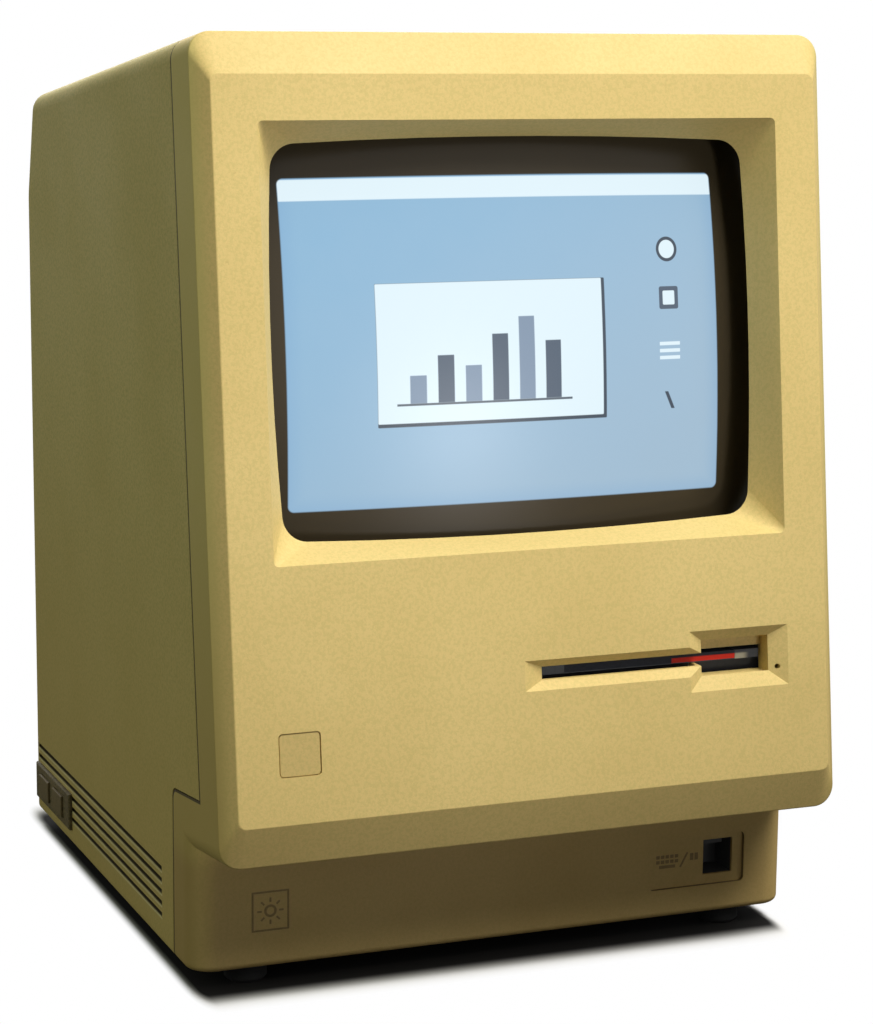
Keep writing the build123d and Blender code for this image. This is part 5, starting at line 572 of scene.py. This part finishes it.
# %% Scan lines and the dark edge of the glass
LINE_PITCH = 0.35
lines = (up * (2 * pi / LINE_PITCH)).sine() * 0.5 + 0.5
picture = tube.mix(lines * 0.08, picture, tone(120, 150, 180))

phosphor = tube.mix(tube.noise(60, 2.0), tone(58, 50, 36), tone(70, 61, 44))
tube.set(Base_Color=tube.mix(raster, phosphor, tone(46, 50, 54)),
         Emission_Color=tube.mix(raster, (0, 0, 0), picture))
tube.wear("picture_tube")
print("display lit")

# %% [markdown]
# ## Black, rubber and metal
#
# The small parts are of a few kinds: matt black mouldings, rubber, plated sheet with its faint spangle,
# turned bright steel, castings and brass. One function makes each kind, and the parts differ in tone,
# roughness and the direction of their grain.

# %% Dark mouldings and rubber
def dark_moulding(name, colour, grain_mm=0.5, shine=0.5, gleam=0.5):
    """Dark plastic or rubber with a little dust."""
    skin = Finish(name, IOR=1.5, Specular_IOR_Level=gleam)
    grains = skin.noise(grain_mm, 1.0, 0.6)
    dust = skin.noise(22, 4.0, 0.65).ramp(0.45, 0.8)
    lighter = tuple(channel * 1.9 + 0.01 for channel in colour)
    return skin.set(Base_Color=skin.mix(dust * 0.5 + grains * 0.2, colour, lighter),
                    Roughness=grains * 0.15 + dust * 0.15 + shine, Normal=skin.bump(grains, 0.03))


dark_moulding("black_plastic", (0.018, 0.018, 0.018)).wear(
    "power_inlet", "switch_body", "switch_rocker", "brightness_pot", "centring_rings", "push_switches",
    "audio_jack", "keyboard_jack", "flyback_transformer", "speaker", "head_carriage")
dark_moulding("chip_epoxy", (0.028, 0.028, 0.03), 0.3, 0.6).wear(
    "processor", "rom_chips", "memory_chips", "support_chips")
dark_moulding("foot_rubber", (0.012, 0.012, 0.012), 0.8, 0.75, 0.15).wear(
    "front_feet", "rear_feet", "anode_cap")
print("mouldings dressed")


# %% Plated sheet, turned steel and castings
def plated(name, colour, roughness=0.34, spangle_mm=7.0, tint=0.8):
    """Zinc-plated sheet: flat crystals that differ a little in tone and in shine."""
    skin = Finish(name, Metallic=1.0)
    crystals = skin.node("ShaderNodeTexVoronoi", {}, out="Distance", Vector=skin.place,
                         Scale=1 / (spangle_mm * MM))
    film = skin.noise(40, 4.0, 0.6)
    shade = tuple(channel * tint for channel in colour)
    return skin.set(Base_Color=skin.mix(crystals * 0.6 + film * 0.4, colour, shade),
                    Roughness=crystals * 0.12 + film * 0.12 + roughness,
                    Normal=skin.bump(skin.noise(1.2, 2.0), 0.01))


def turned_metal(name, colour, roughness=0.28, ring_mm=0.35):
    """Turned or drawn metal with fine rings and a little tarnish."""
    skin = Finish(name, Metallic=1.0)
    rings = skin.noise(ring_mm, 1.0, place=skin.squeezed(1, 4, 1))
    tarnish = skin.noise(12, 4.0, 0.6).ramp(0.4, 0.8)
    shade = tuple(channel * 0.6 for channel in colour)
    return skin.set(Base_Color=skin.mix(tarnish * 0.5, colour, shade),
                    Roughness=rings * 0.1 + tarnish * 0.2 + roughness, Normal=skin.bump(rings, 0.01))


plated("zinc_sheet", (0.56, 0.56, 0.54)).wear(
    "tube_band", "chassis", "analog_bracket", "drive_bracket", "drive_cover", "spindle_motor")
plated("port_steel", (0.6, 0.6, 0.58), 0.28, 3.0).wear(
    "mouse_port", "drive_port", "printer_port", "modem_port")
plated("aluminium_fins", (0.66, 0.66, 0.67), 0.4, 12.0, 0.9).wear("heat_sink")
plated("spring_steel", (0.6, 0.6, 0.61), 0.25, 4.0, 0.88).wear(
    "battery_contacts", "diskette_shutter", "diskette_hub")
plated("motor_steel", (0.2, 0.2, 0.21), 0.42, 5.0, 0.8).wear("stepper_motor", "eject_motor")
turned_metal("bright_screw", (0.62, 0.62, 0.6)).wear(
    "tube_screws", "chassis_screws", "port_posts", "spindle", "lead_screw", "guide_rods")
turned_metal("black_screw", (0.045, 0.045, 0.045), 0.42).wear("case_screws")
turned_metal("pin_brass", (0.6, 0.52, 0.34), 0.3).wear("inlet_pins")

# %% The drive's casting, black where it shows in the slot
BLACK_PAINT = (0.012, 0.012, 0.013)
cast = plated("cast_frame", (0.42, 0.42, 0.42), 0.5, 2.5, 0.75).wear("drive_frame")
painted = cast.axes()[1].ramp(-112.0, -114.0)
cast.set(Base_Color=cast.mix(painted, cast.now("Base Color"), BLACK_PAINT), Metallic=1 - painted)
print("metals dressed")

# %% [markdown]
# ## Boards, winding and sleeves
#
# Inside are two kinds of board. The logic board has green resist over a net of copper tracks, which shows as
# slightly raised paths. The power board is brown laminate. The coil is copper wire laid in turns round the
# tube's axis, so its bands follow the distance along that axis.

# %% Boards
def circuit_board(name, resist, track, pitch_mm=2.54):
    """A board whose tracks follow a brick net, with gaps."""
    board = Finish(name, IOR=1.5, Coat_Weight=0.25, Coat_Roughness=0.2)
    cells = board.node("ShaderNodeTexBrick", {"offset": 0.5, "squash": 1.0}, out="Fac", Vector=board.place,
                       Scale=1 / (6 * pitch_mm * MM), Mortar_Size=0.06, Mortar_Smooth=0.2)
    paths = cells * board.noise(9, 1.0).ramp(0.42, 0.5)
    fibre = board.noise(0.8, 2.0)
    colour = board.mix(paths, resist, track)
    return board.set(Base_Color=board.mix(fibre * 0.25, colour, tuple(channel * 0.6 for channel in resist)),
                     Roughness=fibre * 0.15 + 0.35, Normal=board.bump(paths, 0.035))


circuit_board("board_green", (0.018, 0.11, 0.04), (0.04, 0.2, 0.07)).wear("logic_board")
circuit_board("board_brown", (0.17, 0.09, 0.035), (0.26, 0.15, 0.06), 3.8).wear("analog_board", "neck_board")
print("boards dressed")

# %% Winding and sleeves
WIRE_PITCH = 0.9 * MM
coil = Finish("winding", IOR=1.5, Metallic=0.35, Coat_Weight=0.4, Coat_Roughness=0.15)
ridges = coil.place.along(OUTWARD * (2 * pi / WIRE_PITCH)).sine() * 0.5 + 0.5
varnish = coil.noise(14, 3.0)
coil.set(Base_Color=coil.mix(ridges * 0.5 + varnish * 0.4, (0.2, 0.06, 0.02), (0.5, 0.2, 0.07)),
         Roughness=varnish * 0.2 + 0.3, Normal=coil.bump(ridges, 0.12)).wear("deflection_yoke")


def sleeve(name, colour, shade):
    """Shrunk plastic sleeve, glossy, with slight wrinkles."""
    skin = Finish(name, IOR=1.5)
    wrinkle = skin.noise(5, 2.0)
    return skin.set(Base_Color=skin.mix(wrinkle, colour, shade), Roughness=wrinkle * 0.12 + 0.22,
                    Normal=skin.bump(wrinkle, 0.05))


sleeve("capacitor_sleeve", (0.02, 0.035, 0.14), (0.03, 0.05, 0.2)).wear("filter_capacitors")
sleeve("battery_sleeve", (0.52, 0.47, 0.36), (0.44, 0.39, 0.3)).wear("battery")
print("coil and sleeves dressed")

# %% Diskette
LABEL_LIT_FROM_X = 56.0
LABEL_END_X = 82.25
LABEL_FOLD_Z = 117.0
DISK_FRONT_Y = -125.07
shell = Finish("disk_plastic", IOR=1.48)
fine = shell.noise(0.4, 1.0)
scuffs = shell.noise(11.11, 3.0, place=shell.squeezed(9, 1, 1))
# Painted shade: the shell is painted dark grey, as it lies in the shade of the slot.
shaded_shell_grey = shell.mix(scuffs.ramp(0.5, 0.8) * 0.35 + fine * 0.15, tone(52, 54, 58), tone(36, 38, 42))
x, y, z = shell.axes()
# Painted light: the shell's own pale tone shows only past the label's end, where light falls in through the
# notch.
lit_shell_end = x.ramp(LABEL_END_X - 0.25, LABEL_END_X + 0.55) * x.ramp(LABEL_END_X + 6.25, LABEL_END_X + 3.25)
lit_shell_end = lit_shell_end * y.ramp(DISK_FRONT_Y + 1.47, DISK_FRONT_Y + 0.67)
lit_shell_end = lit_shell_end * z.ramp(LABEL_FOLD_Z + 0.4, LABEL_FOLD_Z - 0.4)
shell.set(Base_Color=shell.mix(lit_shell_end * 0.8, shaded_shell_grey, tone(186, 180, 156)),
          Roughness=fine * 0.2 + 0.38, Normal=shell.bump(fine, 0.02)).wear("diskette_shell")
label = Finish("label_paper", IOR=1.4)
fibres = label.noise(1.111, 3.0, place=label.squeezed(1, 5, 1))
x, _, z = label.axes()
# Painted light and shade: the label's own red shows only on the fold towards the notch, where light falls in;
# the rest is painted dark slate as shade.
lit_red_fold = x.ramp(LABEL_LIT_FROM_X - 0.3, LABEL_LIT_FROM_X + 0.3) * z.ramp(LABEL_FOLD_Z + 0.2, LABEL_FOLD_Z - 0.2)
shaded_label_slate = label.mix(fibres, tone(30, 33, 42), tone(20, 22, 30))
label.set(Base_Color=label.mix(lit_red_fold, shaded_label_slate, tone(214, 44, 26)), Roughness=fibres * 0.2 + 0.6,
          Normal=label.bump(fibres, 0.015)).wear("diskette_label")
print("diskette dressed")

# %% [markdown]
# ## Moulded signs
#
# Two faint signs are moulded on the chin: a small sun below the brightness wheel and a row of keys
# with its lead beside the keyboard socket. They have no words. Each is a few thin shapes that
# stand a fifth of a millimetre proud, drawn flat with bmesh shapes and then laid on the chin.

# %% Thin raised shapes
SIGN_HEIGHT = 0.18 * MM
SUN_X, SUN_Z = -92, 28.5
SUN_RAYS, RAY_REACH = 8, 4.2
KEYS_X, KEYS_Z, KEY_PITCH = 66.4, 30.9, 2.0
KEYS_DEPTH = 1.8


def to_piece(shape, name, body, material):
    """A mesh from a bmesh, riding on a body, with its faces pointing outwards."""
    bmesh.ops.recalc_face_normals(shape, faces=shape.faces)
    mesh = bpy.data.meshes.new(name)
    shape.to_mesh(mesh)
    shape.free()
    mesh.materials.append(material)
    piece = bpy.data.objects.new(name, mesh)
    bpy.context.scene.collection.objects.link(piece)
    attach(piece, body)


def add_bar(shape, x, y, width, height, turn=0.0):
    """A flat bar that lies in X and Y, in millimetres."""
    made = bmesh.ops.create_cube(shape, size=1.0)
    matrix = (Matrix.Translation((x * MM, y * MM, 0)) @ Matrix.Rotation(turn, 4, "Z")
              @ Matrix.Diagonal((width * MM, height * MM, 2 * SIGN_HEIGHT, 1)))
    bmesh.ops.transform(shape, matrix=matrix, verts=made["verts"])


def add_ring(shape, x, y, outer, inner, segments=40):
    """A flat ring: a small rectangle spun round a full turn."""
    middle = Vector((x * MM, y * MM, 0))
    corners = [(inner, -SIGN_HEIGHT), (outer, -SIGN_HEIGHT), (outer, SIGN_HEIGHT), (inner, SIGN_HEIGHT)]
    verts = [shape.verts.new(middle + Vector((radius * MM, 0, height))) for radius, height in corners]
    edges = [shape.edges.new((verts[i], verts[(i + 1) % 4])) for i in range(4)]
    bmesh.ops.spin(shape, geom=[*verts, *edges], cent=middle, axis=(0, 0, 1), angle=2 * pi, steps=segments,
                   use_merge=True)


def add_frame(shape, x, y, width, height, line=0.4):
    """Four bars round a rectangle."""
    for side in (-1, 1):
        add_bar(shape, x, y + side * (height - line) / 2, width, line)
        add_bar(shape, x + side * (width - line) / 2, y, line, height - 2 * line)


def chin_matrix(depth=0.0):
    """Lays a drawing in X and Y on the chin, which stands upright."""
    turn = Matrix(((1, 0, 0), (0, 0, 1), (0, -1, 0))).transposed().to_4x4()
    return Matrix.Translation((0, CHIN_Y + depth * MM, 0)) @ turn


# %% The two signs
sign_plastic = moulded("sign_plastic", tone(148, 126, 82), tone(124, 104, 66), 0.5, 0.02)
sun = bmesh.new()
add_ring(sun, SUN_X, SUN_Z, 2.4, 1.5)
for i in range(SUN_RAYS):
    angle = 2 * pi * i / SUN_RAYS
    add_bar(sun, SUN_X + RAY_REACH * cos(angle), SUN_Z + RAY_REACH * sin(angle), 1.7, 0.7, angle)
add_frame(sun, SUN_X, SUN_Z, 14.4, 15.2, 0.7)
bmesh.ops.transform(sun, matrix=chin_matrix(), verts=sun.verts)
to_piece(sun, "brightness_sign", "housing", sign_plastic.material)

keys = bmesh.new()
for row in range(2):
    for column in range(5):
        add_bar(keys, KEYS_X + column * KEY_PITCH, KEYS_Z - row * KEY_PITCH, 1.4, 1.3)
add_bar(keys, 70.4, 26.9, 6.8, 1.2)
add_bar(keys, 77.6, 29.0, 0.7, 6.4, -0.5)
for column in range(2):
    add_bar(keys, 81.0 + column * KEY_PITCH, 29.9, 1.4, 2.8)
bmesh.ops.transform(keys, matrix=chin_matrix(KEYS_DEPTH), verts=keys.verts)
to_piece(keys, "keyboard_sign", "housing", sign_plastic.material)
print("chin signs done")

# %% [markdown]
# ## The rear sockets
#
# Each socket is a plated shell round a black block with gold-lined holes. The block's outline is a rectangle
# whose lower corners are drawn in: one face whose four corners get a bevel, then an extrusion. Small moulded
# signs above the panel say what each socket is for: a mouse, a drive, a printer, a telephone and a speaker.

# %% Blocks with holes
REAR_Y = 138.25
SHELL_END_Y = 134.75
PORT_Z = 26.5
SMALL_SHELL, LARGE_SHELL, SHELL_HEIGHT = 17.0, 33.4, 8.4
RIM = 0.8
BLOCK_SLANT = radians(10)
BLOCK_CORNER, BLOCK_PROUD = 1.4, 0.15
PIN_PITCH, ROW_PITCH = 2.77, 2.84
HOLE_OUTER, HOLE_INNER = 0.75, 0.42
PORT_X = {"mouse": 89.13, "drive": 44.37, "printer": -0.40, "modem": -36.97, "audio": -62.83}


def rear_matrix(x, y, z):
    """Lays a drawing in X and Y on an upright plane that looks to the rear."""
    turn = Matrix(((-1, 0, 0), (0, 0, 1), (0, 1, 0))).transposed().to_4x4()
    return Matrix.Translation(Vector((x, y, z)) * MM) @ turn


def socket_block(shape, width, height):
    """The block's face: its corners bevelled, then drawn out."""
    half, high = width / 2 * MM, height / 2 * MM
    low_half = half - height * tan(BLOCK_SLANT) * MM
    corners = [shape.verts.new(place) for place in (
        (-half, high, 0), (-low_half, -high, 0), (low_half, -high, 0), (half, high, 0))]
    shape.faces.new(corners)
    bmesh.ops.bevel(shape, geom=corners, affect="VERTICES", offset=BLOCK_CORNER * MM, segments=4, profile=0.5,
                    material=-1)
    drawn = bmesh.ops.extrude_face_region(shape, geom=shape.faces[:])
    moved = [item for item in drawn["geom"] if isinstance(item, bmesh.types.BMVert)]
    bmesh.ops.translate(shape, vec=(0, 0, BLOCK_PROUD * MM), verts=moved)


insulator = dark_moulding("socket_black", (0.02, 0.02, 0.022), 0.4, 0.4)
blocks, holes = bmesh.new(), bmesh.new()
for name, shell_width, pins in (("mouse", SMALL_SHELL, 5), ("drive", LARGE_SHELL, 10),
                                ("printer", SMALL_SHELL, 5), ("modem", SMALL_SHELL, 5)):
    block, rings = bmesh.new(), bmesh.new()
    socket_block(block, shell_width - 2 * RIM, SHELL_HEIGHT - 2 * RIM)
    for row, count in enumerate((pins, pins - 1)):
        for i in range(count):
            hole_x, hole_y = (i - (count - 1) / 2) * PIN_PITCH, (0.5 - row) * ROW_PITCH
            add_ring(rings, hole_x, hole_y, HOLE_OUTER, HOLE_INNER, 12)
    for part, whole, proud in ((block, blocks, 0.0), (rings, holes, BLOCK_PROUD)):
        placed = rear_matrix(PORT_X[name], SHELL_END_Y + proud, PORT_Z)
        bmesh.ops.transform(part, matrix=placed, verts=part.verts)
        loose = bpy.data.meshes.new(name)
        part.to_mesh(loose)
        whole.from_mesh(loose)
        bpy.data.meshes.remove(loose)
        part.free()
to_piece(blocks, "socket_blocks", "housing", insulator.material)
gold = turned_metal("contact_gold", (0.75, 0.52, 0.2), 0.22)
to_piece(holes, "socket_holes", "housing", gold.material)
print(len(PORT_X), "openings in the rear panel")

# %% Signs above the sockets
SIGN_Z = 45.2

rear_signs = bmesh.new()
mouse_x, drive_x, printer_x, modem_x, audio_x = (-x for x in PORT_X.values())
add_frame(rear_signs, mouse_x, SIGN_Z, 2.6, 3.6)
add_bar(rear_signs, mouse_x, SIGN_Z + 0.6, 1.8, 0.4)
add_frame(rear_signs, drive_x, SIGN_Z, 4.0, 4.0)
add_bar(rear_signs, drive_x, SIGN_Z + 1.1, 1.8, 1.0)
add_frame(rear_signs, printer_x, SIGN_Z - 0.5, 4.8, 2.4)
add_bar(rear_signs, printer_x, SIGN_Z + 1.4, 2.8, 0.9)
add_ring(rear_signs, modem_x, SIGN_Z - 0.3, 1.5, 1.0, 24)
add_bar(rear_signs, modem_x, SIGN_Z + 1.7, 4.4, 0.8)
add_bar(rear_signs, audio_x - 1.0, SIGN_Z, 0.9, 1.6)
for i in range(3):
    add_bar(rear_signs, audio_x + 0.1 + i * 0.9, SIGN_Z, 0.35, 1.6 + i * 1.0)
bmesh.ops.transform(rear_signs, matrix=rear_matrix(0, REAR_Y, 0), verts=rear_signs.verts)
to_piece(rear_signs, "rear_signs", "housing", sign_plastic.material)
print("rear signs done")

# %% [markdown]
# ## Contacts in the keyboard socket
#
# The keyboard socket holds four springy gold wires. Each is a short bar that leans down into the opening.

# %% Socket wires
SOCKET_X, WIRES_Z = 92.3, 31.6
WIRES, WIRES_PITCH, WIRES_DEPTH = 4, 1.5, 11.0
WIRE_THICK, WIRE_LENGTH, WIRE_TILT = 0.45, 8.0, -0.35

wires_shape = bmesh.new()
for i in range(WIRES):
    x = SOCKET_X + (i - (WIRES - 1) / 2) * WIRES_PITCH
    made = bmesh.ops.create_cube(wires_shape, size=1.0)
    matrix = (Matrix.Translation((x * MM, CHIN_Y + WIRES_DEPTH * MM, WIRES_Z * MM))
              @ Matrix.Rotation(WIRE_TILT, 4, "X")
              @ Matrix.Diagonal((WIRE_THICK * MM, WIRE_LENGTH * MM, WIRE_THICK * MM, 1)))
    bmesh.ops.transform(wires_shape, matrix=matrix, verts=made["verts"])
to_piece(wires_shape, "socket_wires", "housing", gold.material)
print(WIRES, "wires in the keyboard socket")
